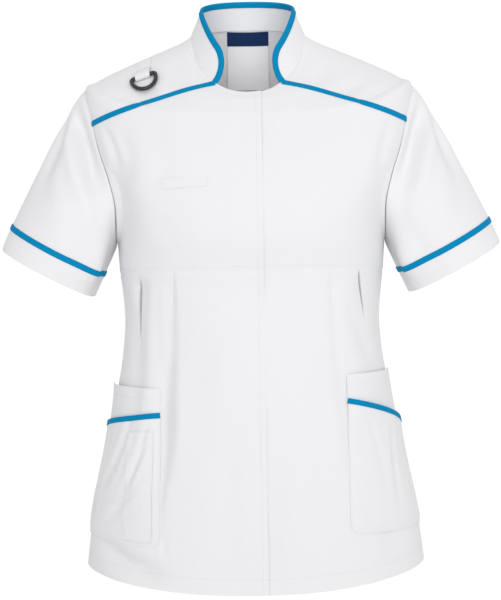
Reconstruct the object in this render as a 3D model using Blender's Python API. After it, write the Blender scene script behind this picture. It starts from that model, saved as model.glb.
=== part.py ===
"""A nurse's short-sleeved tunic, filled out as it is worn, with nobody in it.

Sizes are in millimetres and the points are scaled to metres as the meshes are made.
+X is the wearer's left, -Y the front and +Z up. The origin is the middle of the neck,
level with the neck ends of the shoulders, which is where the wearer carries the tunic.
"""

import math

import bmesh
import bpy
from mathutils import Vector

MM = 0.001

# Cloth and seams
WALL = 1.5
TRIM_WALL = 1.2
SEAM_INSET = 0.3

# Front closing: the wearer's right front laps over the left one
LAP_EDGE_X = 16.0
UNDERLAP_EDGE_X = -20.0
UNDERLAP_DEPTH = WALL + 0.5
UNDERLAP_FLAT_X = 20.0
UNDERLAP_RAMP_X = 46.0

# The rings of the garment from hem to neck, each one a closed loop round the wearer.
# side_z, front_z, back_z: heights of the loop at the side, the front and the back.
# half_width: reach to each side. front_y, back_y: reach forward and back.
# square: 2 is an ellipse, and more is squarer. dip: how soon the loop falls away from its side height.
RINGS = (
    # side_z, front_z, back_z, half_width, front_y, back_y, square, dip
    (-691, -718, -706, 226.0, -166, 158, 2.20, -0.3),
    (-612, -630, -620, 214.0, -160, 148, 2.30, -0.1),
    (-519, -528, -523, 194.0, -150, 134, 2.30, 0.0),
    (-440, -444, -442, 178.0, -140, 121, 2.30, 0.0),
    (-384, -385, -384, 171.5, -134, 113, 2.35, 0.0),
    (-344, -345, -344, 172.5, -133, 112, 2.40, 0.0),
    (-306, -306, -306, 176.0, -138, 114, 2.40, 0.0),
    (-266, -262, -266, 180.0, -148, 119, 2.45, 0.0),
    (-222, -222, -226, 187.0, -147, 122, 2.50, 0.0),
    (-180, -186, -184, 200.0, -138, 122, 2.50, 0.1),
    (-138, -152, -142, 212.0, -127, 120, 2.45, 0.2),
    (-92, -122, -98, 217.0, -114, 115, 2.25, 0.3),
    (-53, -104, -60, 219.0, -106, 109, 2.05, 0.4),
    (-47, -100, -51, 205.0, -104, 106, 2.05, 0.4),
    (-37, -95, -38, 186.0, -101, 102, 2.05, 0.5),
    (-21, -89, -20, 150.0, -97, 95, 2.10, 0.5),
    (-5, -81, 0, 112.0, -92, 86, 2.15, 0.5),
    (5, -76, 17, 89.0, -87, 77, 2.10, 0.5),
    (13, -71, 31, 77.0, -83, 69, 2.10, 0.5),
)
BUST_SEAM_RING = 6
UNDERARM_RING = 7
SHOULDER_RING = 12
NECK_RING = 18

FRONT = -math.pi / 2
SIDE = 0.0
BACK = math.pi / 2

# The armhole, seen from the side, from the shoulder point down to the underarm
ARMHOLE_FRONT = (
    # y, z
    (-21, -78),
    (-41, -110),
    (-58, -148),
    (-66, -187),
    (-61, -222),
    (-36, -252),
)
ARMHOLE_BACK = (
    # y, z
    (24, -80),
    (43, -114),
    (53, -152),
    (56, -190),
    (50, -226),
    (28, -254),
)
ARMHOLE_FRONT_ROWS = 12
YOKE_ROWS_ON_ARMHOLE = 3
ARMHOLE_BACK_ROWS = 12

# The yoke seam on the front, seen from the front, between its neck and armhole ends
YOKE_SEAM = (
    # x, z
    (83, -67),
    (125, -80),
    (168, -93),
)
COLLAR_END_X = 42.5
SHOULDER_SEAM_BACK_ANGLE = 0.16
SHOULDER_SEAM_NECK_ANGLE = 0.256

BODICE_COLUMNS = 13
NECK_COLUMNS = 2
CENTRE_COLUMNS_X = (8.0, -4.0)
YOKE_COLUMNS = BODICE_COLUMNS - NECK_COLUMNS
BACK_NECK_COLUMNS = 6
SIDE_SEAM_ROWS = 2

# Pleats below the bust seam. x is where each leaves the seam, and deep is its depth there.
# narrow and wide are its half widths at the top and low down, and fades_z is where it ends.
FRONT_PLEATS = (
    # x, deep, narrow, wide, fades_z
    (98.0, 5.0, 7.0, 22.0, -640),
    (138.0, 7.0, 5.5, 16.0, -470),
)
BACK_PLEATS = (
    # x, deep, narrow, wide, fades_z
    (62.0, 4.0, 8.0, 26.0, -650),
    (128.0, 4.5, 8.0, 24.0, -600),
)
SKIRT_ROWS = 12
FLANK_COLUMNS = 4

# Sleeves
CUFF_CENTRE = (272.0, -10.0, -303.0)
CUFF_OUT = (0.885, 0.0, 0.465)
CUFF_FORWARD = (-0.04, -0.99, -0.11)
CUFF_HALF_WIDTH = 69.5
CUFF_HALF_DEPTH = 62.0
SLEEVE_BULGE = 9.0
SLEEVE_HEAD = 5.5
SLEEVE_ROWS = 7
SLEEVE_START = 0.7
CUFF_BAND = 31.0
CUFF_ROWS = 2
CUFF_WALL = 2.2

# Piping tapes. The sleeve's one covers the seam between the cuff and the sleeve.
YOKE_PIPING_WIDTH = 8.0
YOKE_PIPING_LIFT = 1.3
YOKE_PIPING_END_GAPS = (3.2, 0.8)
SLEEVE_PIPING_BELOW = 2.0
SLEEVE_PIPING_ABOVE = 6.0
SLEEVE_PIPING_LIFT = 0.7

# Collar
COLLAR_HEIGHT = 38.0
COLLAR_BACK_HEIGHT = 39.0
COLLAR_LEAN = 0.40
COLLAR_CORNER = 44.0
COLLAR_COLUMNS = 34
COLLAR_ROWS = 3
COLLAR_WALL = 2.0
COLLAR_START = 1.3
COLLAR_BINDING_WIDTH = 7.0
COLLAR_BINDING_GAP = 0.9
BINDING_WALL = 1.0
BINDING_FOOT = 0.4

# Hip pockets. front_x is the front edge, and the others are heights at that edge and at the side seam.
POCKETS = {
    # front_x, top_front_z, top_side_z, slant_front_z, slant_side_z, bottom_front_z, bottom_side_z, mouth
    "right": (122.0, -457, -453, -488, -506, -660, -650, 1.5),
    "left": (121.0, -442, -438, -473, -509, -646, -646, 3.0),
}
POCKET_COLUMNS = 8
POCKET_ROWS = 8
POCKET_WALL = 1.2
POCKET_LIFT = 1.6
POCKET_REST_GAP = 0.9
BACK_LAYER_GAPE = 1.5
MOUTH_END_GAPE = 1.7
POCKET_BINDING_WIDTH = 6.5
POCKET_BINDING_GAP = 0.7
POCKET_SIDE_ANGLE = -0.03
POCKET_CORNER = 16.0
# Shares of the way across and up the front layer
PEN_POCKET_ACROSS = (0.06, 0.32)
PEN_POCKET_UP = (0.05, 0.87)
PEN_POCKET_LIFT = 0.6

# Chest welt
WELT_X = (54.0, 115.0)
WELT_LOW_Z = (-198.0, -201.0)
WELT_HEIGHT = 14.0
WELT_LIFT = 1.0

# Ring on the right yoke
RING_BAR_X = 139.0
RING_BAR_Y = -43.0
RING_HALF_WIDTH = 17.0
RING_DROP = 27.0
RING_WIRE = 2.3
RING_SIDES = 12
RING_FAR_FOOT = 20.0
RING_CORNER = 4.0
TAB_WIDTH = 19.0
TAB_WALL = 0.8
TAB_GAP = 0.8
TAB_CLEAR = 0.5
TAB_REST_GAP = 0.4
# The tab's section on either side of the bar, as the way down the yoke from the bar. The upper
# layer falls from the bar to where it rests on the lower one.
TAB_LOWER = (-33.0, -28.0, -22.0, -15.0, -8.0, 0.0)
TAB_FALL = (
    # down, height
    (-5.0, 6.2),
    (-12.0, 3.6),
)
TAB_UPPER = (-18.0, -24.0, -28.5, -33.0)

# Label
LABEL_WIDTH = 58.0
LABEL_DROP = 76.0
HEADER_DROP = 18.0
LABEL_WALL = 1.0
LABEL_GAP = 0.6
LABEL_TOP_Z = 28.0

WHITE_CLOTH = ("white_cloth", (0.87, 0.87, 0.88), 0.75, 0.0)
BLUE_TAPE = ("blue_tape", (0.0, 0.27, 0.55), 0.6, 0.0)
BLACK_NYLON = ("black_nylon", (0.01, 0.01, 0.012), 0.35, 0.0)
LABEL_SATIN = ("label_satin", (0.85, 0.85, 0.86), 0.45, 0.0)
NAVY_SATIN = ("navy_satin", (0.006, 0.03, 0.12), 0.45, 0.0)


# Curves and the garment's surface


def blended(values, t):
    """A smooth value at t along a list, through each of its entries."""
    last = len(values) - 1
    i = min(max(int(math.floor(t)), 0), last - 1)
    f = t - i
    before = values[i - 1] if i > 0 else 2 * values[0] - values[1]
    after = values[i + 2] if i + 2 <= last else 2 * values[last] - values[last - 1]
    a, b = values[i], values[i + 1]
    slope_a, slope_b = (b - before) / 2, (after - a) / 2
    return (
        a * (2 * f**3 - 3 * f**2 + 1)
        + slope_a * (f**3 - 2 * f**2 + f)
        + b * (3 * f**2 - 2 * f**3)
        + slope_b * (f**3 - f**2)
    )


RING_COLUMNS = tuple(zip(*RINGS))


def body_point(angle, t):
    """The garment's outer surface: angle round the wearer, from FRONT by SIDE to BACK, on ring t."""
    side_z, front_z, back_z, half_width, front_y, back_y, square, dip = (
        blended(column, t) for column in RING_COLUMNS
    )
    c, s = math.cos(angle), math.sin(angle)
    reach = (abs(c) ** square + abs(s) ** square) ** (-1 / square)
    across, along = reach * c, reach * s
    depth = -front_y if along < 0 else back_y
    end_z = front_z if along < 0 else back_z
    fall = abs(along) ** 1.5 * (1 + dip * (1 - abs(along)))
    z = side_z + (end_z - side_z) * fall
    return Vector((half_width * across, depth * along, z))


def body_normal(angle, t):
    step = 1e-3
    around = body_point(angle + step, t) - body_point(angle - step, t)
    up = body_point(angle, t + step) - body_point(angle, t - step)
    return around.cross(up).normalized()


def place_on_body(wanted, axes, angle, t):
    """The (angle, t) where the surface has the wanted coordinates on the two named axes."""
    step = 1e-4
    for _ in range(40):
        here = body_point(angle, t)
        miss = [wanted[k] - here[axes[k]] for k in (0, 1)]
        if max(abs(m) for m in miss) < 1e-6:
            break
        by_angle = (body_point(angle + step, t) - here) / step
        by_t = (body_point(angle, t + step) - here) / step
        a, b = by_angle[axes[0]], by_t[axes[0]]
        c, d = by_angle[axes[1]], by_t[axes[1]]
        det = a * d - b * c
        turn = (d * miss[0] - b * miss[1]) / det
        climb = (a * miss[1] - c * miss[0]) / det
        angle += max(-0.2, min(0.2, turn))
        t += max(-0.7, min(0.7, climb))
        t = max(-0.5, min(NECK_RING + 0.5, t))
    return angle, t


X, Y, Z = 0, 1, 2


def front_place(x, z, t_guess):
    return place_on_body((x, z), (X, Z), FRONT + 0.6, t_guess)


def side_place(y, z, t_guess):
    return place_on_body((y, z), (Y, Z), 0.4 if y > 0 else -0.4, t_guess)


def angle_at_x(x, t, near=FRONT):
    """The angle, near the front or the back, where ring t has this x."""
    low, high = (FRONT - 0.5, SIDE) if near == FRONT else (SIDE, BACK + 0.5)
    rising = near == FRONT
    for _ in range(50):
        middle = (low + high) / 2
        if (body_point(middle, t).x < x) == rising:
            low = middle
        else:
            high = middle
    return (low + high) / 2


def along_line(places, count):
    """count + 1 places on a smooth line through the given ones, evenly spaced along the body."""
    angles = [p[0] for p in places]
    levels = [p[1] for p in places]
    fine = 24 * (len(places) - 1)
    walk = [
        (
            blended(angles, i * (len(places) - 1) / fine),
            blended(levels, i * (len(places) - 1) / fine),
        )
        for i in range(fine + 1)
    ]
    reached = [0.0]
    for a, b in zip(walk, walk[1:]):
        reached.append(reached[-1] + (body_point(*b) - body_point(*a)).length)
    found = []
    for k in range(count + 1):
        target = reached[-1] * k / count
        i = max(j for j in range(fine) if reached[j] <= target + 1e-9)
        share = (target - reached[i]) / (reached[i + 1] - reached[i])
        share = min(max(share, 0.0), 1.0)
        found.append(tuple(walk[i][n] + share * (walk[i + 1][n] - walk[i][n]) for n in (0, 1)))
    return found


def patch(bottom, top, left, right):
    """Rows of places between four border lines that share their corners."""
    columns, rows = len(bottom) - 1, len(left) - 1
    grid = []
    for j in range(rows + 1):
        v = j / rows
        row = []
        for i in range(columns + 1):
            u = i / columns
            place = []
            for n in (0, 1):
                ruled_up = (1 - v) * bottom[i][n] + v * top[i][n]
                ruled_across = (1 - u) * left[j][n] + u * right[j][n]
                corners = (
                    (1 - u) * (1 - v) * bottom[0][n]
                    + u * (1 - v) * bottom[-1][n]
                    + (1 - u) * v * top[0][n]
                    + u * v * top[-1][n]
                )
                place.append(ruled_up + ruled_across - corners)
            row.append(tuple(place))
        grid.append(row)
    return grid


# Blender objects


def material(spec):
    name, colour, roughness, metallic = spec
    found = bpy.data.materials.get(name)
    if found:
        return found
    made = bpy.data.materials.new(name)
    made.use_nodes = True
    shader = made.node_tree.nodes["Principled BSDF"]
    shader.inputs["Base Color"].default_value = (*colour, 1.0)
    shader.inputs["Roughness"].default_value = roughness
    shader.inputs["Metallic"].default_value = metallic
    made.diffuse_color = (*colour, 1.0)
    return made


def mirrored(sides):
    """The same wall on the wearer's right, turned so that its faces still point out."""
    return [[[Vector((-p.x, p.y, p.z)) for p in reversed(row)] for row in side] for side in sides]


def drawn_in(sides):
    """A wall whose border is moved a little way in from the seams."""
    return [drawn_in_face(rows) for rows in sides]


def drawn_in_face(rows):
    made = [list(row) for row in rows]
    ends = ((0, 1), (-1, -2))
    for i in range(len(rows[0])):
        for edge, inner in ends:
            toward = rows[inner][i] - rows[edge][i]
            made[edge][i] = made[edge][i] + toward.normalized() * SEAM_INSET
    for j in range(len(rows)):
        for edge, inner in ends:
            toward = rows[j][inner] - rows[j][edge]
            made[j][edge] = made[j][edge] + toward.normalized() * SEAM_INSET
    return made


def walled(places, point):
    """The outer and inner points of a cloth wall, for rows of places on the body."""
    outer = [[point(*place) for place in row] for row in places]
    inner = [
        [p - body_normal(*place) * WALL for p, place in zip(row, place_row)]
        for row, place_row in zip(outer, places)
    ]
    return outer, inner


def cloth(name, sides, look, closed=False):
    """A closed wall from rows of outer points and the inner ones behind them.

    Each row runs left to right as seen from outside, and the rows go upward.
    """
    outer, inner = sides
    count = len(outer[0])
    rows = len(outer)
    points = [tuple(p * MM) for side in (outer, inner) for row in side for p in row]
    behind = rows * count
    faces = []
    for j in range(rows - 1):
        for i in range(count if closed else count - 1):
            k = (i + 1) % count
            quad = (j * count + i, j * count + k, (j + 1) * count + k, (j + 1) * count + i)
            faces.append(quad)
            faces.append(tuple(behind + n for n in reversed(quad)))
    borders = []
    if closed:
        borders.append([i for i in range(count)] + [0])
        borders.append([(rows - 1) * count + i for i in reversed(range(count))] + [rows * count - 1])
    else:
        loop = [i for i in range(count)]
        loop += [j * count + count - 1 for j in range(1, rows)]
        loop += [(rows - 1) * count + i for i in reversed(range(count - 1))]
        loop += [j * count for j in reversed(range(rows - 1))]
        borders.append(loop)
    for loop in borders:
        for a, b in zip(loop, loop[1:]):
            faces.append((b, a, behind + a, behind + b))
    mesh = bpy.data.meshes.new(name)
    mesh.from_pydata(points, [], faces)
    mesh.materials.append(material(look))
    mesh.shade_smooth()
    mesh.set_sharp_from_angle(angle=math.radians(50))
    piece = bpy.data.objects.new(name, mesh)
    bpy.context.scene.collection.objects.link(piece)
    return piece


def solid_from(name, bm, look):
    """An object from a closed bmesh."""
    mesh = bpy.data.meshes.new(name)
    bm.to_mesh(mesh)
    bm.free()
    mesh.materials.append(material(look))
    mesh.shade_smooth()
    mesh.set_sharp_from_angle(angle=math.radians(50))
    piece = bpy.data.objects.new(name, mesh)
    bpy.context.scene.collection.objects.link(piece)
    return piece


# Seam lines, on the wearer's left half; the right half mirrors them

UNDERARM = (SIDE, float(UNDERARM_RING))
SHOULDER_POINT = (SIDE, float(SHOULDER_RING))


def armhole_line(points, rows):
    """From the underarm up one edge of the armhole to the shoulder point."""
    low_z, high_z = RINGS[UNDERARM_RING][0], RINGS[SHOULDER_RING][0]
    places = [UNDERARM]
    for y, z in reversed(points):
        share = (z - low_z) / (high_z - low_z)
        guess = UNDERARM_RING + share * (SHOULDER_RING - UNDERARM_RING)
        places.append(side_place(y, z, guess))
    places.append(SHOULDER_POINT)
    return along_line(places, rows)


ARM_FRONT = armhole_line(ARMHOLE_FRONT, ARMHOLE_FRONT_ROWS)
ARM_BACK = armhole_line(ARMHOLE_BACK, ARMHOLE_BACK_ROWS)
YOKE_SEAM_ROW = ARMHOLE_FRONT_ROWS - YOKE_ROWS_ON_ARMHOLE
SHOULDER_SEAM_ROW = ARMHOLE_BACK_ROWS - 1


def yoke_seam_line():
    """From the collar's end to the armhole, across the front."""
    start = (angle_at_x(COLLAR_END_X, NECK_RING), float(NECK_RING))
    end = ARM_FRONT[YOKE_SEAM_ROW]
    first, last = body_point(*start), body_point(*end)
    seen = [(first.x, first.z)] + list(YOKE_SEAM) + [(last.x, last.z)]
    steps = 6 * (len(seen) - 1)
    places = [start]
    for k in range(1, steps):
        x = blended([p[0] for p in seen], k / 6)
        z = blended([p[1] for p in seen], k / 6)
        places.append(place_on_body((x, z), (X, Z), *places[-1]))
    return along_line(places + [end], YOKE_COLUMNS)


def shoulder_seam_line():
    """From the neck to the armhole, just behind the top of the shoulder."""
    start = (SHOULDER_SEAM_NECK_ANGLE, float(NECK_RING))
    end = ARM_BACK[SHOULDER_SEAM_ROW]
    middle = (SHOULDER_SEAM_BACK_ANGLE, (NECK_RING + end[1]) / 2)
    return along_line([start, middle, end], YOKE_COLUMNS)


YOKE_LINE = yoke_seam_line()
SHOULDER_LINE = shoulder_seam_line()


def ring_line(t, start, end, count):
    return along_line([(start + (end - start) * k / 6, t) for k in range(7)], count)


def underlap_shift(x):
    """How far the under front is set back below the lap."""
    share = (UNDERLAP_RAMP_X - x) / (UNDERLAP_RAMP_X - UNDERLAP_FLAT_X)
    share = min(max(share, 0.0), 1.0)
    return UNDERLAP_DEPTH * share * share * (3 - 2 * share)


def underlap_point(angle, t):
    p = body_point(angle, t)
    return p - body_normal(angle, t) * underlap_shift(p.x)


def front_bodice_places(edge_x):
    """From the closing edge to the side seam and armhole, and from the bust seam up to the yoke seam."""
    seam = float(BUST_SEAM_RING)
    side = along_line([(SIDE, seam), UNDERARM], SIDE_SEAM_ROWS)[:-1] + ARM_FRONT[: YOKE_SEAM_ROW + 1]
    rows = len(side) - 1
    start = [seam + (NECK_RING - seam) * k / 12 for k in range(13)]
    edge = along_line([(angle_at_x(UNDERLAP_FLAT_X, t), t) for t in start], rows)
    bottom = ring_line(seam, edge[0][0], SIDE, BODICE_COLUMNS)
    neck = ring_line(float(NECK_RING), edge[-1][0], YOKE_LINE[0][0], NECK_COLUMNS)
    grid = patch(bottom, neck[:-1] + YOKE_LINE, edge, side)
    centre = [edge_x] + list(reversed(CENTRE_COLUMNS_X))
    return [
        [(angle_at_x(x, row[0][1]), row[0][1]) for x in centre] + row for row in grid
    ]


def yoke_places():
    """Rows from the yoke seam on the front, over the shoulder, to the shoulder seam."""
    armhole = ARM_FRONT[YOKE_SEAM_ROW:] + [ARM_BACK[SHOULDER_SEAM_ROW]]
    rows = len(armhole) - 1
    neck = ring_line(float(NECK_RING), YOKE_LINE[0][0], SHOULDER_LINE[0][0], rows)
    return patch(YOKE_LINE, SHOULDER_LINE, neck, armhole)


def back_bodice_places():
    """The wearer's left half of the back, from the side seam to the centre."""
    seam = float(BUST_SEAM_RING)
    side = along_line([(SIDE, seam), UNDERARM], SIDE_SEAM_ROWS)[:-1] + ARM_BACK[: SHOULDER_SEAM_ROW + 1]
    rows = len(side) - 1
    centre = along_line([(BACK, seam + (NECK_RING - seam) * k / 8) for k in range(9)], rows)
    bottom = ring_line(seam, SIDE, BACK, YOKE_COLUMNS + BACK_NECK_COLUMNS)
    shoulder = list(reversed(SHOULDER_LINE))
    neck = ring_line(float(NECK_RING), SHOULDER_LINE[0][0], BACK, BACK_NECK_COLUMNS)
    return patch(bottom, shoulder[:-1] + neck, side, centre)


def joined_halves(sides):
    """A whole back from its left half, whose rows run from the side to the centre."""
    whole = []
    for rows in sides:
        whole.append([row + [Vector((-p.x, p.y, p.z)) for p in reversed(row[:-1])] for row in rows])
    return whole


# The skirt, with its pleats


def pleat_depth(p, pleats):
    """How far the pleats draw the skirt in at a point of the body surface."""
    total = 0.0
    level = RINGS[BUST_SEAM_RING][0]
    for x, deep, narrow, wide, fades_z in pleats:
        run = (level - p.z) / (level - fades_z)
        if not 0 <= run < 1:
            continue
        spread = narrow + (wide - narrow) * run
        centre = x * (1 + 0.24 * run)
        fade = (1 - run) ** 0.8
        off = (abs(p.x) - centre) / spread
        total += deep * fade * math.exp(-off * off)
        beside = (abs(p.x) - centre + 1.9 * spread) / spread
        total -= 0.3 * deep * min(1.0, 2.5 * run) * fade * math.exp(-beside * beside)
    return total


def skirt_point(angle, t, lift=0.0):
    """The skirt's outer surface, drawn in by its pleats and moved out by lift."""
    p = body_point(angle, t)
    pleats = FRONT_PLEATS if p.y < 0 else BACK_PLEATS
    return p + body_normal(angle, t) * (lift - pleat_depth(p, pleats))


def columns_at(xs, near):
    """For each x on the bust seam, the angle that its column keeps down the skirt."""
    return [angle_at_x(x, float(BUST_SEAM_RING), near) for x in xs]


def pleat_columns(pleats, low_x, high_x):
    """x of the skirt's columns at the bust seam: close together at each pleat."""
    xs = {low_x, high_x}
    for x, _, narrow, _, _ in pleats:
        for step in (-2.6, -1.3, -0.6, 0.0, 0.6, 1.3, 2.6):
            if low_x < x + step * narrow < high_x:
                xs.add(x + step * narrow)
    ordered = sorted(xs)
    made = [ordered[0]]
    for x in ordered[1:]:
        gaps = max(1, round((x - made[-1]) / 17.0))
        start = made[-1]
        made.extend(start + (x - start) * k / gaps for k in range(1, gaps + 1))
    return made


def skirt_levels():
    return [BUST_SEAM_RING * j / SKIRT_ROWS for j in range(SKIRT_ROWS + 1)]


def flank(angle, other):
    """Even steps round the side, where x hardly changes."""
    return [angle + (other - angle) * k / FLANK_COLUMNS for k in range(1, FLANK_COLUMNS)]


def front_skirt_places(edge_x):
    first = max(edge_x, 0.0) + 12.0
    angles = columns_at(pleat_columns(FRONT_PLEATS, first, 160.0), FRONT)
    angles = angles + flank(angles[-1], SIDE) + [SIDE]
    return [
        [(angle_at_x(edge_x, t), t)] + [(angle, t) for angle in angles] for t in skirt_levels()
    ]


def back_skirt_places():
    angles = list(reversed(columns_at(pleat_columns(BACK_PLEATS, 0.0, 152.0), BACK)))
    angles = [SIDE] + flank(SIDE, angles[0]) + angles
    return [[(angle, t) for angle in angles] for t in skirt_levels()]


def under_skirt_point(angle, t):
    p = skirt_point(angle, t)
    return p - body_normal(angle, t) * underlap_shift(p.x)


# Tapes that lie along a line on the body


def above_body(place, lift):
    return body_point(*place) + body_normal(*place) * lift


def tape(line, width, lift, end_gaps):
    """A flat tape centred on the line of places, with its underside moved out by lift."""
    count = len(line)
    middle = [body_point(*place) for place in line]
    normals = [body_normal(*place) for place in line]
    along = []
    for i in range(count):
        a, b = middle[max(i - 1, 0)], middle[min(i + 1, count - 1)]
        along.append((b - a).normalized())
    middle[0] = middle[0] + along[0] * end_gaps[0]
    middle[-1] = middle[-1] - along[-1] * end_gaps[1]
    outer, inner = [], []
    for share in (-0.5, 0.5):
        across = [normals[i].cross(along[i]).normalized() * share * width for i in range(count)]
        inner.append([middle[i] + across[i] + normals[i] * lift for i in range(count)])
        outer.append([middle[i] + across[i] + normals[i] * (lift + TRIM_WALL) for i in range(count)])
    return outer, inner


# A binding's section, round the tape from in front of the cloth's edge to behind it: the way off
# the edge and the way out of the cloth for its outer and its inner side. They count from the
# cloth's outer face, or from its inner one where the last entry says back.
BINDING_SECTION = (
    # outer off, outer out, inner off, inner out, counted from
    ("width", "wall", "width", 0.0, "face"),
    (0.0, "wall", 0.0, 0.0, "face"),
    ("wall", 0.0, 0.0, -0.12, "face"),
    ("wall", 0.0, 0.0, -0.12, "back"),
    (0.0, "wall", 0.0, 0.0, "back"),
    ("width", "wall", "width", 0.0, "back"),
)


def binding_section(layer_wall, width, gap):
    """Pairs of (off the edge, out of the face) for the tape's outer and inner sides."""
    pairs = []
    for outer_off, outer_out, inner_off, inner_out, origin in BINDING_SECTION:
        sign = 1 if origin == "face" else -1
        start = gap if origin == "face" else -layer_wall - gap
        places = []
        for off, out in ((outer_off, outer_out), (inner_off, inner_out)):
            off = {"width": -width, "wall": gap + BINDING_WALL}.get(off, gap)
            out = BINDING_WALL if out == "wall" else out
            places.append((off, start + sign * out))
        pairs.append(places)
    return pairs


# Sleeves, as rows of points from the cuff's hem up to the armhole

ARMHOLE_LOOP = ARM_FRONT + list(reversed(ARM_BACK))[1:-1]
CUFF_MIDDLE = Vector(CUFF_CENTRE)
OUT = Vector(CUFF_OUT).normalized()
FORWARD = Vector(CUFF_FORWARD).normalized()


def sleeve_point(i, v):
    """On column i round the sleeve: v is 0 at the armhole and 1 at the hem."""
    columns = len(ARMHOLE_LOOP)
    turn = 2 * math.pi * (i % columns) / columns
    start = body_point(*ARMHOLE_LOOP[i % columns])
    round_cuff = -math.cos(turn) * OUT * CUFF_HALF_WIDTH + math.sin(turn) * FORWARD * CUFF_HALF_DEPTH
    end = CUFF_MIDDLE + round_cuff
    away = (end - start).normalized()
    start = start + away * SLEEVE_START
    swell = max(0.0, math.sin(math.pi * v))
    side = FORWARD if math.sin(turn) > 0 else -FORWARD
    bulge = side * SLEEVE_BULGE * math.sin(turn) ** 2 * swell**1.2
    head = OUT * SLEEVE_HEAD * max(0.0, -math.cos(turn)) * swell**0.6
    return start + (end - start) * v + bulge + head


def sleeve_normal(i, v):
    step = 0.02
    low, high = max(0.0, v - step), min(1.0, v + step)
    up = sleeve_point(i, low) - sleeve_point(i, high)
    around = sleeve_point(i + 1, v) - sleeve_point(i - 1, v)
    return around.cross(up).normalized()


def sleeve_length(i):
    return (sleeve_point(i, 1.0) - sleeve_point(i, 0.0)).length


def sleeve_walls(from_hem, to_hem, rows, wall, lift=0.0, to_armhole=False):
    """A band of the sleeve: from_hem and to_hem are distances up from the hem."""
    columns = len(ARMHOLE_LOOP)
    outer, inner = [], []
    for j in range(rows + 1):
        out_row, in_row = [], []
        for i in range(columns):
            length = sleeve_length(i)
            low = 1 - from_hem / length
            high = 0.0 if to_armhole else 1 - to_hem / length
            v = low + (high - low) * j / rows
            p, n = sleeve_point(i, v), sleeve_normal(i, v)
            out_row.append(p + n * (lift + wall if lift else 0.0))
            in_row.append(p + n * (lift if lift else -wall))
        outer.append(out_row)
        inner.append(in_row)
    return outer, inner


# Collar: distances run along the neck seam from the wearer's left end, round the back

NECK_TOTAL_STEPS = 240
NECK_START_ANGLE = YOKE_LINE[0][0]


def neck_places():
    """Places on the whole neck seam, from the left end round the back to the right end."""
    end = math.pi - NECK_START_ANGLE
    step = (end - NECK_START_ANGLE) / NECK_TOTAL_STEPS
    return [(NECK_START_ANGLE + step * k, float(NECK_RING)) for k in range(NECK_TOTAL_STEPS + 1)]


NECK_POINTS = [body_point(*place) for place in neck_places()]
NECK_REACHED = [0.0]
for _a, _b in zip(NECK_POINTS, NECK_POINTS[1:]):
    NECK_REACHED.append(NECK_REACHED[-1] + (_b - _a).length)
NECK_LENGTH = NECK_REACHED[-1]


def neck_at(s):
    s = min(max(s, 0.0), NECK_LENGTH)
    k = max(i for i in range(NECK_TOTAL_STEPS) if NECK_REACHED[i] <= s + 1e-9)
    share = (s - NECK_REACHED[k]) / (NECK_REACHED[k + 1] - NECK_REACHED[k])
    return NECK_POINTS[k].lerp(NECK_POINTS[k + 1], share)


def collar_frame(s):
    """The seam point at s, the way along the seam, the way up the collar and the way out of it."""
    inside = min(max(s, 0.0), NECK_LENGTH)
    low, high = max(0.0, inside - 4), min(NECK_LENGTH, inside + 4)
    along = (neck_at(high) - neck_at(low)).normalized()
    up = (Vector((0, 0, 1)) - along * along.z).normalized()
    out = along.cross(up).normalized()
    lean = COLLAR_LEAN
    raised = up * math.cos(lean) - out * math.sin(lean)
    return neck_at(s) + along * (s - inside), along, raised, along.cross(raised).normalized()


def collar_point(s, h):
    base, _, up, _ = collar_frame(s)
    return base + up * (COLLAR_START + h)


def collar_edge():
    """The collar's free edge: distance along the seam and height, from one front end to the other."""
    corner = []
    for k in range(7):
        turn = math.radians(6 + 84 * k / 6)
        corner.append((COLLAR_CORNER * (1 - math.cos(turn)), COLLAR_HEIGHT * math.sin(turn)))
    flat = COLLAR_COLUMNS - 12
    middle = []
    for k in range(1, flat):
        share = k / flat
        rise = (COLLAR_BACK_HEIGHT - COLLAR_HEIGHT) * math.sin(math.pi * share)
        s = COLLAR_CORNER + (NECK_LENGTH - 2 * COLLAR_CORNER) * share
        middle.append((s, COLLAR_HEIGHT + rise))
    return corner + middle + [(NECK_LENGTH - s, h) for s, h in reversed(corner)]


def collar_walls():
    outer, inner = [], []
    edge = collar_edge()
    for j in range(COLLAR_ROWS + 1):
        share = j / COLLAR_ROWS
        out_row, in_row = [], []
        for s, h in edge:
            n = collar_frame(s)[3]
            p = collar_point(s, h * share)
            out_row.append(p)
            in_row.append(p - n * COLLAR_WALL)
        outer.append(out_row)
        inner.append(in_row)
    return outer, inner


def collar_binding_walls():
    """A tape folded over the collar's front and upper edges."""
    edge = collar_edge()
    edge = [(edge[0][0], BINDING_FOOT)] + edge + [(edge[-1][0], BINDING_FOOT)]
    outer, inner = [], []
    section = binding_section(COLLAR_WALL, COLLAR_BINDING_WIDTH, COLLAR_BINDING_GAP)
    for out_place, in_place in section:
        for rows, (off, out) in ((outer, out_place), (inner, in_place)):
            row = []
            for i, (s, h) in enumerate(edge):
                after, before = edge[min(i + 1, len(edge) - 1)], edge[max(i - 1, 0)]
                way = Vector((after[0] - before[0], after[1] - before[1])).normalized()
                s_off, h_off = s - way.y * off, h + way.x * off
                row.append(collar_point(s_off, h_off) + collar_frame(s_off)[3] * out)
            rows.append(row)
    return outer, inner


# Pockets


def side_level(z):
    """t where the side seam has this height."""
    low, high = 0.0, float(BUST_SEAM_RING)
    for _ in range(50):
        middle = (low + high) / 2
        if body_point(POCKET_SIDE_ANGLE, middle).z < z:
            low = middle
        else:
            high = middle
    return low


def skirt_front_place(x, z):
    return front_place(x, z, 2.0)


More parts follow.
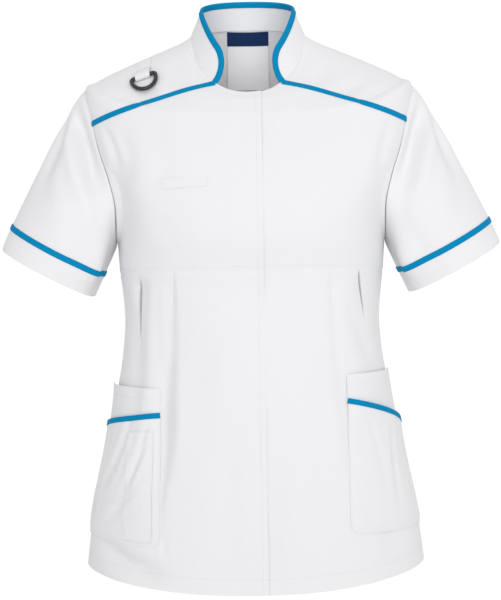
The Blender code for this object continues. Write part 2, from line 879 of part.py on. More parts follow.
def pocket_places(front_x, top_front_z, top_side_z, bottom_front_z, bottom_side_z, rows):
    """From the front edge to the side seam, and from the bottom up, with one rounded corner."""
    cut = POCKET_CORNER
    corner = skirt_front_place(front_x + 0.29 * cut, bottom_front_z + 0.29 * cut)
    after = skirt_front_place(front_x + cut, bottom_front_z)
    above = skirt_front_place(front_x, bottom_front_z + cut)
    top = skirt_front_place(front_x, top_front_z)
    side_low = (POCKET_SIDE_ANGLE, side_level(bottom_side_z))
    side_high = (POCKET_SIDE_ANGLE, side_level(top_side_z))
    middle = tuple((after[n] + side_low[n]) / 2 for n in (0, 1))
    bottom = [corner] + along_line([after, middle, side_low], POCKET_COLUMNS - 1)
    low_z = bottom_front_z + cut
    quarters = [low_z + (top_front_z - low_z) * k / 4 for k in range(1, 4)]
    upright = [above] + [skirt_front_place(front_x, z) for z in quarters] + [top]
    front = [corner] + along_line(upright, rows - 1)
    side = along_line([side_low, side_high], rows)
    top_line = along_line([top, side_high], POCKET_COLUMNS)
    return patch(bottom, top_line, front, side)


def gaped(places, base_lift, gape, end_gape=0.0):
    """A pocket layer's wall. Its top edge stands away by gape in the middle and end_gape at the ends."""
    rows = len(places) - 1
    columns = len(places[0]) - 1
    outer, inner = [], []
    for j, row in enumerate(places):
        out_row, in_row = [], []
        for i, place in enumerate(row):
            bow = max(0.0, math.sin(math.pi * i / columns)) ** 0.8
            open_here = (end_gape + gape * bow) * (j / rows) ** 4
            normal = body_normal(*place)
            p = skirt_point(*place) + normal * (base_lift + open_here)
            in_row.append(p)
            out_row.append(p + normal * POCKET_WALL)
        outer.append(out_row)
        inner.append(in_row)
    return outer, inner


def top_binding(sides):
    """A binding folded over a layer's top edge."""
    outer = sides[0]
    edge = outer[-1]
    normals, outward = [], []
    for i in range(len(edge)):
        a, b = edge[max(i - 1, 0)], edge[min(i + 1, len(edge) - 1)]
        up = (edge[i] - outer[-2][i]).normalized()
        along = (b - a).normalized()
        up = (up - along * up.dot(along)).normalized()
        outward.append(up)
        normals.append(along.cross(up).normalized())
    outer_rows, inner_rows = [], []
    section = binding_section(POCKET_WALL, POCKET_BINDING_WIDTH, POCKET_BINDING_GAP)
    for out_place, in_place in section:
        for rows, (off, out) in ((outer_rows, out_place), (inner_rows, in_place)):
            rows.append([p + o * off + n * out for p, o, n in zip(edge, outward, normals)])
    return outer_rows, inner_rows


def on_panel(sides, across, up):
    """A point of a panel's outer face and the way out of it, at shares of the way across and up."""
    rows = sides[0]
    i = min(int(across * (len(rows[0]) - 1)), len(rows[0]) - 2)
    j = min(int(up * (len(rows) - 1)), len(rows) - 2)
    u = across * (len(rows[0]) - 1) - i
    v = up * (len(rows) - 1) - j
    low = rows[j][i].lerp(rows[j][i + 1], u)
    high = rows[j + 1][i].lerp(rows[j + 1][i + 1], u)
    left = rows[j][i].lerp(rows[j + 1][i], v)
    right = rows[j][i + 1].lerp(rows[j + 1][i + 1], v)
    return low.lerp(high, v), (right - left).cross(high - low).normalized()


def shares_between(low, high, steps):
    """Shares from low to high that include every line of a panel with this many steps."""
    inside = [k / steps for k in range(steps + 1) if low + 0.02 < k / steps < high - 0.02]
    return [low] + inside + [high]


def patch_on_panel(sides, across, up, lift, wall):
    """A flat pocket that lies on a panel."""
    outer, inner = [], []
    for v in shares_between(*up, len(sides[0]) - 1):
        out_row, in_row = [], []
        for u in shares_between(*across, len(sides[0][0]) - 1):
            p, n = on_panel(sides, u, v)
            in_row.append(p + n * lift)
            out_row.append(p + n * (lift + wall))
        outer.append(out_row)
        inner.append(in_row)
    return outer, inner


def shares_at(sides, x, z):
    """The shares across and up a back panel where its outer face has this x and z."""
    across, up = 0.5, 0.5
    for _ in range(4):
        low, high = 0.0, 1.0
        for _ in range(30):
            up = (low + high) / 2
            if on_panel(sides, across, up)[0].z < z:
                low = up
            else:
                high = up
        low, high = 0.0, 1.0
        for _ in range(30):
            across = (low + high) / 2
            if on_panel(sides, across, up)[0].x > x:
                low = across
            else:
                high = across
    return across, up


# The ring and its tab, worked out on the left yoke and mirrored to the right one


def yoke_place(across, down):
    """A place on the yoke: across is toward the arm from the ring's bar, and down is toward the front."""
    return place_on_body((RING_BAR_X + across, RING_BAR_Y - down), (X, Y), -0.5, 15.0)


def above_yoke(across, down, height):
    return above_body(yoke_place(across, down), height)


RING_BAR_HEIGHT = TAB_GAP + TAB_WALL + TAB_CLEAR + RING_WIRE


def tab_walls():
    """A strip folded round the bar, with both ends running up to the shoulder seam."""
    loop = RING_WIRE + TAB_CLEAR + TAB_WALL
    middle = RING_BAR_HEIGHT
    outer_section = [(down, TAB_GAP) for down in TAB_LOWER]
    inner_section = [(down, height + TAB_WALL) for down, height in outer_section]
    for turn in (-45, 0, 45, 90):
        c, s = math.cos(math.radians(turn)), math.sin(math.radians(turn))
        outer_section.append((loop * c, middle + loop * s))
        inner_section.append(((loop - TAB_WALL) * c, middle + (loop - TAB_WALL) * s))
    rest = 2 * TAB_WALL + TAB_GAP + TAB_REST_GAP
    for down, height in TAB_FALL + tuple((down, rest) for down in TAB_UPPER):
        outer_section.append((down, height))
        inner_section.append((down, height - TAB_WALL))
    outer, inner = [], []
    shares = (-0.5, -0.17, 0.17, 0.5)
    for out_place, in_place in zip(outer_section, inner_section):
        outer.append([above_yoke(share * TAB_WIDTH, *out_place) for share in shares])
        inner.append([above_yoke(share * TAB_WIDTH, *in_place) for share in shares])
    return outer, inner


def ring_frame():
    """The bar's middle, the way along the bar, and the way from the bar to the far end of the ring."""
    ends = [above_yoke(across, 0.0, RING_BAR_HEIGHT) for across in (-13.0, 13.0)]
    bar = (ends[1] - ends[0]).normalized()
    centre = (ends[0] + ends[1]) / 2
    centre = centre + body_normal(*yoke_place(0.0, 0.0)) * 0.1
    far = above_yoke(0.0, RING_FAR_FOOT, RING_WIRE + 1.0) - centre
    far = (far - bar * far.dot(bar)).normalized()
    return centre, bar, far


def ring_path():
    """The ring's middle line: along the bar, and down from it."""
    corner = RING_CORNER
    half = RING_HALF_WIDTH
    path = [(-half + corner, 0.0), (half - corner, 0.0)]
    for turn in (30, 60, 90):
        a = math.radians(turn)
        path.append((half - corner + corner * math.sin(a), corner - corner * math.cos(a)))
    for turn in range(15, 180, 15):
        a = math.radians(turn)
        path.append((half * math.cos(a), corner + (RING_DROP - corner) * math.sin(a)))
    for turn in (90, 60, 30):
        a = math.radians(turn)
        path.append((-half + corner - corner * math.sin(a), corner - corner * math.cos(a)))
    return path


def ring_solid(name):
    centre, bar, far = ring_frame()
    lift = bar.cross(far).normalized()
    path = ring_path()
    count = len(path)
    bm = bmesh.new()
    loops = []
    for i, (across, down) in enumerate(path):
        before, after = path[i - 1], path[(i + 1) % count]
        way = Vector((after[0] - before[0], after[1] - before[1])).normalized()
        aside = Vector((way.y, -way.x))
        loop = []
        for k in range(RING_SIDES):
            a = 2 * math.pi * k / RING_SIDES
            u = across + aside.x * RING_WIRE * math.cos(a)
            d = down + aside.y * RING_WIRE * math.cos(a)
            p = centre + bar * u + far * d + lift * RING_WIRE * math.sin(a)
            loop.append(bm.verts.new((-p.x * MM, p.y * MM, p.z * MM)))
        loops.append(loop)
    for i in range(count):
        for k in range(RING_SIDES):
            m = (k + 1) % RING_SIDES
            n = (i + 1) % count
            bm.faces.new((loops[i][k], loops[i][m], loops[n][m], loops[n][k]))
    bmesh.ops.recalc_face_normals(bm, faces=bm.faces)
    return solid_from(name, bm, BLACK_NYLON)


# Clear the scene, then build

for old in list(bpy.data.objects):
    bpy.data.objects.remove(old)

# Bodice and back
left_bodice = drawn_in(walled(front_bodice_places(UNDERLAP_EDGE_X), underlap_point))
right_bodice = drawn_in(walled(front_bodice_places(-LAP_EDGE_X), body_point))
cloth("front_bodice_left", left_bodice, WHITE_CLOTH)
cloth("front_bodice_right", mirrored(right_bodice), WHITE_CLOTH)
back_bodice = drawn_in(joined_halves(walled(back_bodice_places(), body_point)))
cloth("back_bodice", back_bodice, WHITE_CLOTH)

# Skirt
left_skirt = drawn_in(walled(front_skirt_places(UNDERLAP_EDGE_X), under_skirt_point))
right_skirt = drawn_in(walled(front_skirt_places(-LAP_EDGE_X), skirt_point))
cloth("front_skirt_left", left_skirt, WHITE_CLOTH)
cloth("front_skirt_right", mirrored(right_skirt), WHITE_CLOTH)
cloth("back_skirt", drawn_in(joined_halves(walled(back_skirt_places(), skirt_point))), WHITE_CLOTH)

# Yokes and their piping
yoke = drawn_in(walled(yoke_places(), body_point))
cloth("shoulder_yoke_left", yoke, WHITE_CLOTH)
cloth("shoulder_yoke_right", mirrored(yoke), WHITE_CLOTH)

yoke_piping = tape(YOKE_LINE, YOKE_PIPING_WIDTH, YOKE_PIPING_LIFT, YOKE_PIPING_END_GAPS)
cloth("yoke_piping_left", yoke_piping, BLUE_TAPE)
cloth("yoke_piping_right", mirrored(yoke_piping), BLUE_TAPE)

# Sleeves
sleeve = sleeve_walls(CUFF_BAND + 0.5, 0.0, SLEEVE_ROWS, WALL, to_armhole=True)
cuff = sleeve_walls(0.0, CUFF_BAND, CUFF_ROWS, CUFF_WALL)
piping_low, piping_high = CUFF_BAND - SLEEVE_PIPING_BELOW, CUFF_BAND + SLEEVE_PIPING_ABOVE
sleeve_piping = sleeve_walls(piping_low, piping_high, 1, TRIM_WALL, SLEEVE_PIPING_LIFT)
for side, put in (("left", lambda sides: sides), ("right", mirrored)):
    cloth("sleeve_" + side, put(sleeve), WHITE_CLOTH, closed=True)
    cloth("cuff_" + side, put(cuff), WHITE_CLOTH, closed=True)
    cloth("sleeve_piping_" + side, put(sleeve_piping), BLUE_TAPE, closed=True)

# Collar
cloth("collar", collar_walls(), WHITE_CLOTH)
cloth("collar_binding", collar_binding_walls(), BLUE_TAPE)

# Hip pockets, and the pen pocket on the right one
for side, sizes in POCKETS.items():
    front_x, top_front, top_side, slant_front, slant_side, low_front, low_side, mouth = sizes
    put = mirrored if side == "right" else (lambda sides: sides)
    places = pocket_places(front_x, top_front, top_side, low_front, low_side, POCKET_ROWS)
    back_layer = gaped(places, POCKET_LIFT, BACK_LAYER_GAPE)
    cloth("pocket_back_" + side, put(back_layer), WHITE_CLOTH)
    places = pocket_places(front_x, slant_front, slant_side, low_front, low_side, POCKET_ROWS)
    front_lift = POCKET_LIFT + POCKET_WALL + POCKET_REST_GAP
    front_layer = gaped(places, front_lift, mouth, MOUTH_END_GAPE)
    cloth("pocket_front_" + side, put(front_layer), WHITE_CLOTH)
    cloth("pocket_binding_" + side, put(top_binding(front_layer)), BLUE_TAPE)
    if side == "right":
        pen_pocket = patch_on_panel(
            front_layer, PEN_POCKET_ACROSS, PEN_POCKET_UP, PEN_POCKET_LIFT, POCKET_WALL
        )
        cloth("pen_pocket", put(pen_pocket), WHITE_CLOTH)

# Chest welt on the right front
welt_rows = []
for row in range(3):
    line = []
    for column in range(5):
        x = WELT_X[0] + (WELT_X[1] - WELT_X[0]) * column / 4
        z = WELT_LOW_Z[0] + (WELT_LOW_Z[1] - WELT_LOW_Z[0]) * column / 4 + WELT_HEIGHT * row / 2
        line.append(front_place(x, z, 8.0))
    welt_rows.append(line)
welt_outer = [[above_body(place, WELT_LIFT + TRIM_WALL) for place in row] for row in welt_rows]
welt_inner = [[above_body(place, WELT_LIFT) for place in row] for row in welt_rows]
cloth("chest_welt", mirrored((welt_outer, welt_inner)), WHITE_CLOTH)

# Ring and its tab on the right yoke
cloth("ring_tab", mirrored(tab_walls()), WHITE_CLOTH)
ring_solid("d_ring")


# Neck label, inside the back


def label_walls(top, bottom, rows):
    """A flat piece against the inside of the back, between two heights."""
    outer, inner = [], []
    for j in range(rows + 1):
        z = bottom + (top - bottom) * j / rows
        out_row, in_row = [], []
        for i in range(7):
            x = LABEL_WIDTH * (0.5 - i / 6)
            p, n = on_panel(back_bodice, *shares_at(back_bodice, x, z))
            face = p - n * (WALL + LABEL_GAP)
            out_row.append(face)
            in_row.append(face - n * LABEL_WALL)
        outer.append(out_row)
        inner.append(in_row)
    return outer, inner


label_top = LABEL_TOP_Z - HEADER_DROP
cloth("label_header", label_walls(LABEL_TOP_Z, label_top + 0.7, 3), NAVY_SATIN)
cloth("label", label_walls(label_top, LABEL_TOP_Z - LABEL_DROP, 8), LABEL_SATIN)
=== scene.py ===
"""A nurse's white tunic with blue piping, filled out as it is worn, with nobody in it.

The cloth is worked out in millimetres on the same cut as the solid model, and scaled to metres
as each mesh is made. +X is the wearer's left, -Y the front and +Z up.
"""

import math

import bpy
import numpy as np
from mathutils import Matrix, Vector


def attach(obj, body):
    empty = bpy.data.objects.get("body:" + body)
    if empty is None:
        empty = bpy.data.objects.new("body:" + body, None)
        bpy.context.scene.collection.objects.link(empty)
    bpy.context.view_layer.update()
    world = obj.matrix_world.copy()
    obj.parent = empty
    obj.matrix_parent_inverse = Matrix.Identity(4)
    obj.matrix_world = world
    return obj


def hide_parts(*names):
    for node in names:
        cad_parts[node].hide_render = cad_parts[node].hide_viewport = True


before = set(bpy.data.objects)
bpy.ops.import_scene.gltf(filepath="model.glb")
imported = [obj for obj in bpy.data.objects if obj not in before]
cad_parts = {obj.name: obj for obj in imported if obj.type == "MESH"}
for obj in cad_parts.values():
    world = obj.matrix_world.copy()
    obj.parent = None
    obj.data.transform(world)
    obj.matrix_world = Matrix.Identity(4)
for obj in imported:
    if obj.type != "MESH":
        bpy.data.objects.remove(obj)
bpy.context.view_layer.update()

# The back of the bodice. It is one piece of white polyester and cotton twill, cut from the seam
# below the bust up to the shoulder seams and the neck. Every other panel is cut on the same body,
# whose loops run from the hem, ring 0, up to the neck, ring 18.
MM = 0.001
RINGS = np.array([
    # side_z, front_z, back_z, half_width, front_y, back_y, square, dip
    (-691, -718, -706, 226.0, -166, 158, 2.20, -0.3),
    (-612, -630, -620, 214.0, -160, 148, 2.30, -0.1),
    (-519, -528, -523, 194.0, -150, 134, 2.30, 0.0),
    (-440, -444, -442, 178.0, -140, 121, 2.30, 0.0),
    (-384, -385, -384, 171.5, -134, 113, 2.35, 0.0),
    (-344, -345, -344, 172.5, -133, 112, 2.40, 0.0),
    (-306, -306, -306, 176.0, -138, 114, 2.40, 0.0),
    (-266, -262, -266, 180.0, -148, 119, 2.45, 0.0),
    (-222, -222, -226, 187.0, -147, 122, 2.50, 0.0),
    (-180, -186, -184, 200.0, -138, 122, 2.50, 0.1),
    (-138, -152, -142, 212.0, -127, 120, 2.45, 0.2),
    (-92, -122, -98, 217.0, -114, 115, 2.25, 0.3),
    (-53, -104, -60, 219.0, -106, 109, 2.05, 0.4),
    (-47, -100, -51, 205.0, -104, 106, 2.05, 0.4),
    (-37, -95, -38, 186.0, -101, 102, 2.05, 0.5),
    (-21, -89, -20, 150.0, -97, 95, 2.10, 0.5),
    (-5, -81, 0, 112.0, -92, 86, 2.15, 0.5),
    (5, -76, 17, 89.0, -87, 77, 2.10, 0.5),
    (13, -71, 31, 77.0, -83, 69, 2.10, 0.5),
])
BUST_SEAM, UNDERARM, SHOULDER, NECK = 6.0, 7.0, 12.0, 18.0
FRONT, SIDE, BACK = -math.pi / 2, 0.0, math.pi / 2
X, Y, Z = 0, 1, 2

ARMHOLE_BACK = ((24, -80), (43, -114), (53, -152), (56, -190), (50, -226), (28, -254))
SHOULDER_SEAM_BACK_ANGLE = 0.16
SHOULDER_SEAM_NECK_ANGLE = 0.256

# How many steps a border has: an armhole, a yoke seam and half the back's neck, each of them then
# divided into FINE
ARMHOLE_STEPS = 12
YOKE_SHARE = 11
BACK_NECK_SHARE = 6
FINE = 6

CLOTH = 0.8
SMOOTHING = 400
SEAM_DIP = 0.6
SEAM_DIP_WIDTH = 1.6
TOPSTITCH = 5.5


def blended(values, t):
    """Smooth values at t along a list, through each of its entries."""
    values = np.asarray(values, float)
    t = np.asarray(t, float)
    low = np.clip(np.floor(t).astype(int), 0, len(values) - 2)
    f = t - low
    ends = ([2 * values[0] - values[1]], values, [2 * values[-1] - values[-2]])
    run = np.concatenate(ends)
    before, a, b, after = run[low], run[low + 1], run[low + 2], run[low + 3]
    slope_a, slope_b = (b - before) / 2, (after - a) / 2
    curve_a = a * (2 * f**3 - 3 * f**2 + 1) + slope_a * (f**3 - 2 * f**2 + f)
    return curve_a + b * (3 * f**2 - 2 * f**3) + slope_b * (f**3 - f**2)


def body_point(angle, t):
    """The garment's form: angle round the wearer, from FRONT by SIDE to BACK, on ring t."""
    angle, t = np.broadcast_arrays(np.asarray(angle, float), np.asarray(t, float))
    side_z, front_z, back_z, half_width, front_y, back_y, square, dip = (
        blended(RINGS[:, k], t) for k in range(8)
    )
    c, s = np.cos(angle), np.sin(angle)
    reach = (np.abs(c) ** square + np.abs(s) ** square) ** (-1 / square)
    across, along = reach * c, reach * s
    depth = np.where(along < 0, -front_y, back_y)
    end_z = np.where(along < 0, front_z, back_z)
    fall = np.abs(along) ** 1.5 * (1 + dip * (1 - np.abs(along)))
    return np.stack([half_width * across, depth * along, side_z + (end_z - side_z) * fall], -1)


def unit(vectors):
    return vectors / np.maximum(np.linalg.norm(vectors, axis=-1, keepdims=True), 1e-9)


def body_normal(angle, t):
    step = 0.001
    around = body_point(angle + step, t) - body_point(angle - step, t)
    up = body_point(angle, t + step) - body_point(angle, t - step)
    return unit(np.cross(around, up))


def form_and_normals(places):
    """The form's points at an array of places, and the way out of it at each."""
    angle, t = places[..., 0], places[..., 1]
    return body_point(angle, t), body_normal(angle, t)


def place_on_body(wanted, axes, angle, t):
    """The (angle, t) where the form has the wanted coordinates on the two named axes."""
    step = 1e-4
    for _ in range(40):
        here = body_point(angle, t)
        miss = [wanted[k] - here[axes[k]] for k in (0, 1)]
        if max(abs(m) for m in miss) < 1e-6:
            break
        by_angle = (body_point(angle + step, t) - here) / step
        by_t = (body_point(angle, t + step) - here) / step
        a, b, c, d = by_angle[axes[0]], by_t[axes[0]], by_angle[axes[1]], by_t[axes[1]]
        det = a * d - b * c
        angle += float(np.clip((d * miss[0] - b * miss[1]) / det, -0.2, 0.2))
        t += float(np.clip((a * miss[1] - c * miss[0]) / det, -0.7, 0.7))
        t = min(max(t, -0.5), NECK + 0.5)
    return angle, t


def columns_at(wanted, reach, rows):
    """Each column of a table read at the wanted distances, where reach has those of its rows."""
    return np.stack([np.interp(wanted, reach, column) for column in rows.T], -1)


def along_line(places, shares):
    """Places at shares of the way, by distance, along a smooth line through the given ones."""
    places = np.asarray(places, float)
    walk_t = np.linspace(0, len(places) - 1, 24 * (len(places) - 1) + 1)
    walk = np.stack([blended(places[:, k], walk_t) for k in (0, 1)], -1)
    steps = np.linalg.norm(np.diff(body_point(walk[:, 0], walk[:, 1]), axis=0), axis=1)
    reached = np.concatenate([[0], np.cumsum(steps)]) / steps.sum()
    return columns_at(shares, reached, walk)


def even(count):
    return np.linspace(0, 1, count + 1)


def patch(bottom, top, left, right):
    """Rows of places between four border lines that share their corners."""
    u = np.linspace(0, 1, len(bottom))[None, :, None]
    v = np.linspace(0, 1, len(left))[:, None, None]
    ruled_up = (1 - v) * bottom[None] + v * top[None]
    ruled_across = (1 - u) * left[:, None] + u * right[:, None]
    low = (1 - u) * bottom[0] + u * bottom[-1]
    high = (1 - u) * top[0] + u * top[-1]
    grid = ruled_up + ruled_across - (1 - v) * low - v * high
    # The inner points are evened out, so that no row or column folds back on the next
    for _ in range(SMOOTHING):
        grid[1:-1, 1:-1] = (grid[:-2, 1:-1] + grid[2:, 1:-1] + grid[1:-1, :-2] + grid[1:-1, 2:]) / 4
    return grid


def armhole_line(points):
    """From the underarm up one edge of the armhole to the shoulder point."""
    low_z, high_z = RINGS[int(UNDERARM)][0], RINGS[int(SHOULDER)][0]
    places = [(SIDE, UNDERARM)]
    for y, z in reversed(points):
        guess = UNDERARM + (z - low_z) / (high_z - low_z) * (SHOULDER - UNDERARM)
        places.append(place_on_body((y, z), (Y, Z), 0.4 if y > 0 else -0.4, guess))
    places.append((SIDE, SHOULDER))
    return along_line(places, even(ARMHOLE_STEPS * FINE))


ARM_BACK = armhole_line(ARMHOLE_BACK)
SHOULDER_SEAM_END = (ARMHOLE_STEPS - 1) * FINE


def shoulder_seam_line():
    """From the neck to the armhole, just behind the top of the shoulder."""
    end = ARM_BACK[SHOULDER_SEAM_END]
    middle = (SHOULDER_SEAM_BACK_ANGLE, (NECK + end[1]) / 2)
    return along_line([(SHOULDER_SEAM_NECK_ANGLE, NECK), middle, end], even(YOKE_SHARE * FINE))


SHOULDER_LINE = shoulder_seam_line()
SIDE_SEAM = along_line([(SIDE, BUST_SEAM), (SIDE, UNDERARM)], even(2 * FINE))


def ring_line(t, start, end, count):
    return along_line([(start + (end - start) * k / 6, t) for k in range(7)], even(count))


def back_bodice_places():
    """The wearer's left half of the back, from the side seam to the centre."""
    side = np.concatenate([SIDE_SEAM[:-1], ARM_BACK[: SHOULDER_SEAM_END + 1]])
    levels = [(BACK, BUST_SEAM + (NECK - BUST_SEAM) * k / 8) for k in range(9)]
    centre = along_line(levels, even(len(side) - 1))
    bottom = ring_line(BUST_SEAM, SIDE, BACK, (YOKE_SHARE + BACK_NECK_SHARE) * FINE)
    neck = ring_line(NECK, SHOULDER_LINE[0][0], BACK, BACK_NECK_SHARE * FINE)
    top = np.concatenate([SHOULDER_LINE[::-1][:-1], neck])
    return patch(bottom, top, side, centre)


def rises(value, low, high):
    """0 below low and 1 above high, with a soft rise between."""
    share = np.clip((value - low) / (high - low), 0, 1)
    return share * share * (3 - 2 * share)


CREASE_START, CREASE_END = (-0.12, 0.3), (0.6, 1.12)
RIDGE_HEIGHT = 0.42


def creases(across, up, table):
    """How far a table of soft creases draws the cloth in.

    Each one is a trough from one end to the other, bowed aside, with a low ridge on both sides.
    It widens on its way, and fades out over the named shares of its length at both ends.
    """
    total = np.zeros(across.shape)
    for x0, z0, x1, z1, bow, width, deep in table:
        dx, dz = x1 - x0, z1 - z0
        length = math.hypot(dx, dz)
        along = ((across - x0) * dx + (up - z0) * dz) / length**2
        off = ((across - x0) * dz - (up - z0) * dx) / length - bow * 4 * along * (1 - along)
        spread = width * (0.75 + 0.5 * np.clip(along, 0, 1))
        fade = rises(along, *CREASE_START) * (1 - rises(along, *CREASE_END))
        trough = np.exp(-((off / spread) ** 2))
        beside = np.exp(-((off / spread - 1.9) ** 2)) + 0.8 * np.exp(-((off / spread + 2.0) ** 2))
        total += deep * fade * (trough - RIDGE_HEIGHT * beside)
    return total


BACK_CREASES = (
    # from x, z, to x, z, bow, half width, deep
    (150, -120, 108, -235, 14, 12, 4.0),
    (-154, -115, -112, -250, -16, 13, 4.4),
    (128, -205, 96, -330, 8, 16, 3.4),
    (-126, -220, -90, -345, -8, 15, 3.0),
    (60, -70, 20, -150, 10, 15, 2.0),
    (-72, -78, -30, -160, -9, 14, 2.2),
    (150, -300, 60, -352, -6, 12, 2.6),
    (-150, -310, -52, -346, 6, 12, 2.4),
    (30, -330, 44, -520, 8, 17, 3.2),
    (-38, -340, -58, -560, -9, 19, 3.0),
    (96, -420, 122, -640, 10, 20, 3.4),
    (-100, -400, -130, -620, -12, 19, 3.6),
    (6, -480, -10, -690, 6, 22, 2.6),
)
RIPPLE_GIRTH_RADIUS = 170
RIPPLES = (
    # wave round the body, wave in z, turn, height
    (0.041, 0.012, 0.4, 0.30),
    (0.023, -0.034, 1.9, 0.34),
    (-0.057, 0.029, 3.1, 0.16),
    (0.013, 0.063, 5.2, 0.15),
    (0.094, 0.018, 2.2, 0.07),
)


def ripples(points):
    """The slight unevenness of cloth that has been pressed and then worn."""
    around = np.arctan2(points[..., Y], points[..., X]) * RIPPLE_GIRTH_RADIUS
    total = np.zeros(around.shape)
    for wave_x, wave_z, turn, height in RIPPLES:
        swing = wave_x * around + wave_z * points[..., Z]
        total += height * np.sin(swing + turn + 1.3 * np.sin(0.017 * points[..., Z] + turn))
    return total


def lengths_along(points, axis):
    """Distances from the first row or column, at each point of a grid."""
    steps = np.linalg.norm(np.diff(points, axis=axis), axis=-1)
    start = np.zeros_like(np.take(steps, [0], axis=axis))
    return np.concatenate([start, np.cumsum(steps, axis=axis)], axis=axis)


def from_borders(points, borders):
    """How far each point of a grid is from the nearest of the named borders."""
    across, up = lengths_along(points, 1), lengths_along(points, 0)
    ways = {
        "left": across,
        "right": across[:, -1:] - across,
        "bottom": up,
        "top": up[-1:] - up,
    }
    return np.min([ways[name] for name in borders], axis=0)


def sunk_borders(points, normals, borders):
    """Points of a panel whose named borders are turned in at the seam."""
    nearness = np.exp(-((from_borders(points, borders) / SEAM_DIP_WIDTH) ** 2))
    return points - normals * (SEAM_DIP * nearness)[..., None]


def both_halves(points):
    """A whole back from its left half, whose rows run from the side to the centre."""
    return np.concatenate([points, points[:, -2::-1] * np.array([-1, 1, 1])], axis=1)


def in_object_mode_alone(piece):
    bpy.ops.object.select_all(action="DESELECT")
    bpy.context.view_layer.objects.active = piece
    piece.select_set(True)


NO_STITCH = 99.0
WELD = 0.02
SOFT_EDGE = math.radians(50)


def cloth_piece(name, points, thick, look, stitch_lines=(), round_tube=False):
    """A sheet of cloth from rows of points, seen from outside left to right and going up."""
    rows, columns = points.shape[0] - 1, points.shape[1] - 1
    bpy.ops.object.select_all(action="DESELECT")
    bpy.ops.mesh.primitive_grid_add(x_subdivisions=columns, y_subdivisions=rows, size=1)
    piece = bpy.context.active_object
    piece.name = piece.data.name = name
    mesh = piece.data
    flat = np.zeros(len(mesh.vertices) * 3)
    mesh.vertices.foreach_get("co", flat)
    flat = flat.reshape(-1, 3)
    i = np.rint((flat[:, 0] + 0.5) * columns).astype(int)
    j = np.rint((flat[:, 1] + 0.5) * rows).astype(int)
    mesh.vertices.foreach_set("co", (points[j, i] * MM).ravel())
    across, up = lengths_along(points, 1), lengths_along(points, 0)
    across = across - across[:, columns // 2 : columns // 2 + 1]
    corner = np.zeros(len(mesh.loops), int)
    mesh.loops.foreach_get("vertex_index", corner)
    uv = np.stack([across[j, i], up[j, i]], -1)[corner] * MM
    mesh.uv_layers[0].data.foreach_set("uv", uv.ravel())
    sewn = np.full(across.shape, NO_STITCH)
    for borders, distance in stitch_lines:
        sewn = np.minimum(sewn, np.abs(from_borders(points, borders) - distance))
    mark = mesh.attributes.new("stitch_mm", "FLOAT", "POINT")
    mark.data.foreach_set("value", sewn[j, i].astype(np.float32))
    mesh.update()
    in_object_mode_alone(piece)
    if round_tube:
        bpy.ops.object.mode_set(mode="EDIT")
        bpy.ops.mesh.select_all(action="SELECT")
        bpy.ops.mesh.remove_doubles(threshold=WELD * MM)
        bpy.ops.object.mode_set(mode="OBJECT")
    wall = piece.modifiers.new("thickness", "SOLIDIFY")
    wall.thickness = thick * MM
    wall.offset = -1
    bpy.ops.object.modifier_apply(modifier="thickness")
    bpy.ops.object.shade_smooth_by_angle(angle=SOFT_EDGE)
    mesh.materials.clear()
    mesh.materials.append(look)
    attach(piece, "garment")
    return piece


def cut_piece(node, points, finish, thick=CLOTH, stitches=(), tube=False):
    """One cut piece, made up in place of the solid of the same name.

    Its finish is a look, that look's slot, which is not used here, and the word that ends the
    piece's name. The stitches are rows of borders, and how far in from them the cloth is sunk by a
    line of stitching.
    """
    look, slot, ending = finish
    piece = cloth_piece(f"{node}_{ending}", points, thick, look, stitches, tube)
    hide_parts(node)


def add_node(tree, kind, **values):
    """A new node of a look's tree, with its inputs set by their names in small letters."""
    node = tree.nodes.new("ShaderNode" + kind)
    for name, value in values.items():
        node.inputs[name.title()].default_value = value
    return node


def add_noise(tree, place, scale, detail=2.0):
    noise = add_node(tree, "TexNoise", scale=scale, detail=detail)
    tree.links.new(place.outputs["Object"], noise.inputs["Vector"])
    return noise.outputs["Fac"]


def add_relief(tree, height, strength, deep, under=None):
    """Relief up to so many millimetres deep, on top of the relief under it."""
    bump = add_node(tree, "Bump", strength=strength, distance=deep * MM)
    tree.links.new(height, bump.inputs["Height"])
    if under:
        tree.links.new(under, bump.inputs["Normal"])
    return bump.outputs["Normal"]


def new_look(name, colour, rough, uneven):
    """A plain look, its nodes, its shader and the input that varies its colour by a share."""
    look = bpy.data.materials.new(name)
    look.use_nodes = True
    tree = look.node_tree
    shader = tree.nodes["Principled BSDF"]
    shader.inputs["Roughness"].default_value = rough
    tone = tree.nodes.new("ShaderNodeMix")
    tone.data_type = "RGBA"
    tone.inputs[6].default_value = (*[c * (1 - uneven) for c in colour], 1)
    tone.inputs[7].default_value = (*colour, 1)
    tree.links.new(tone.outputs[2], shader.inputs["Base Color"])
    return look, tree, shader, tone.inputs["Factor"]


WAVE_AT_SCALE_ONE = 0.314
STITCH_GROOVE = 1.3


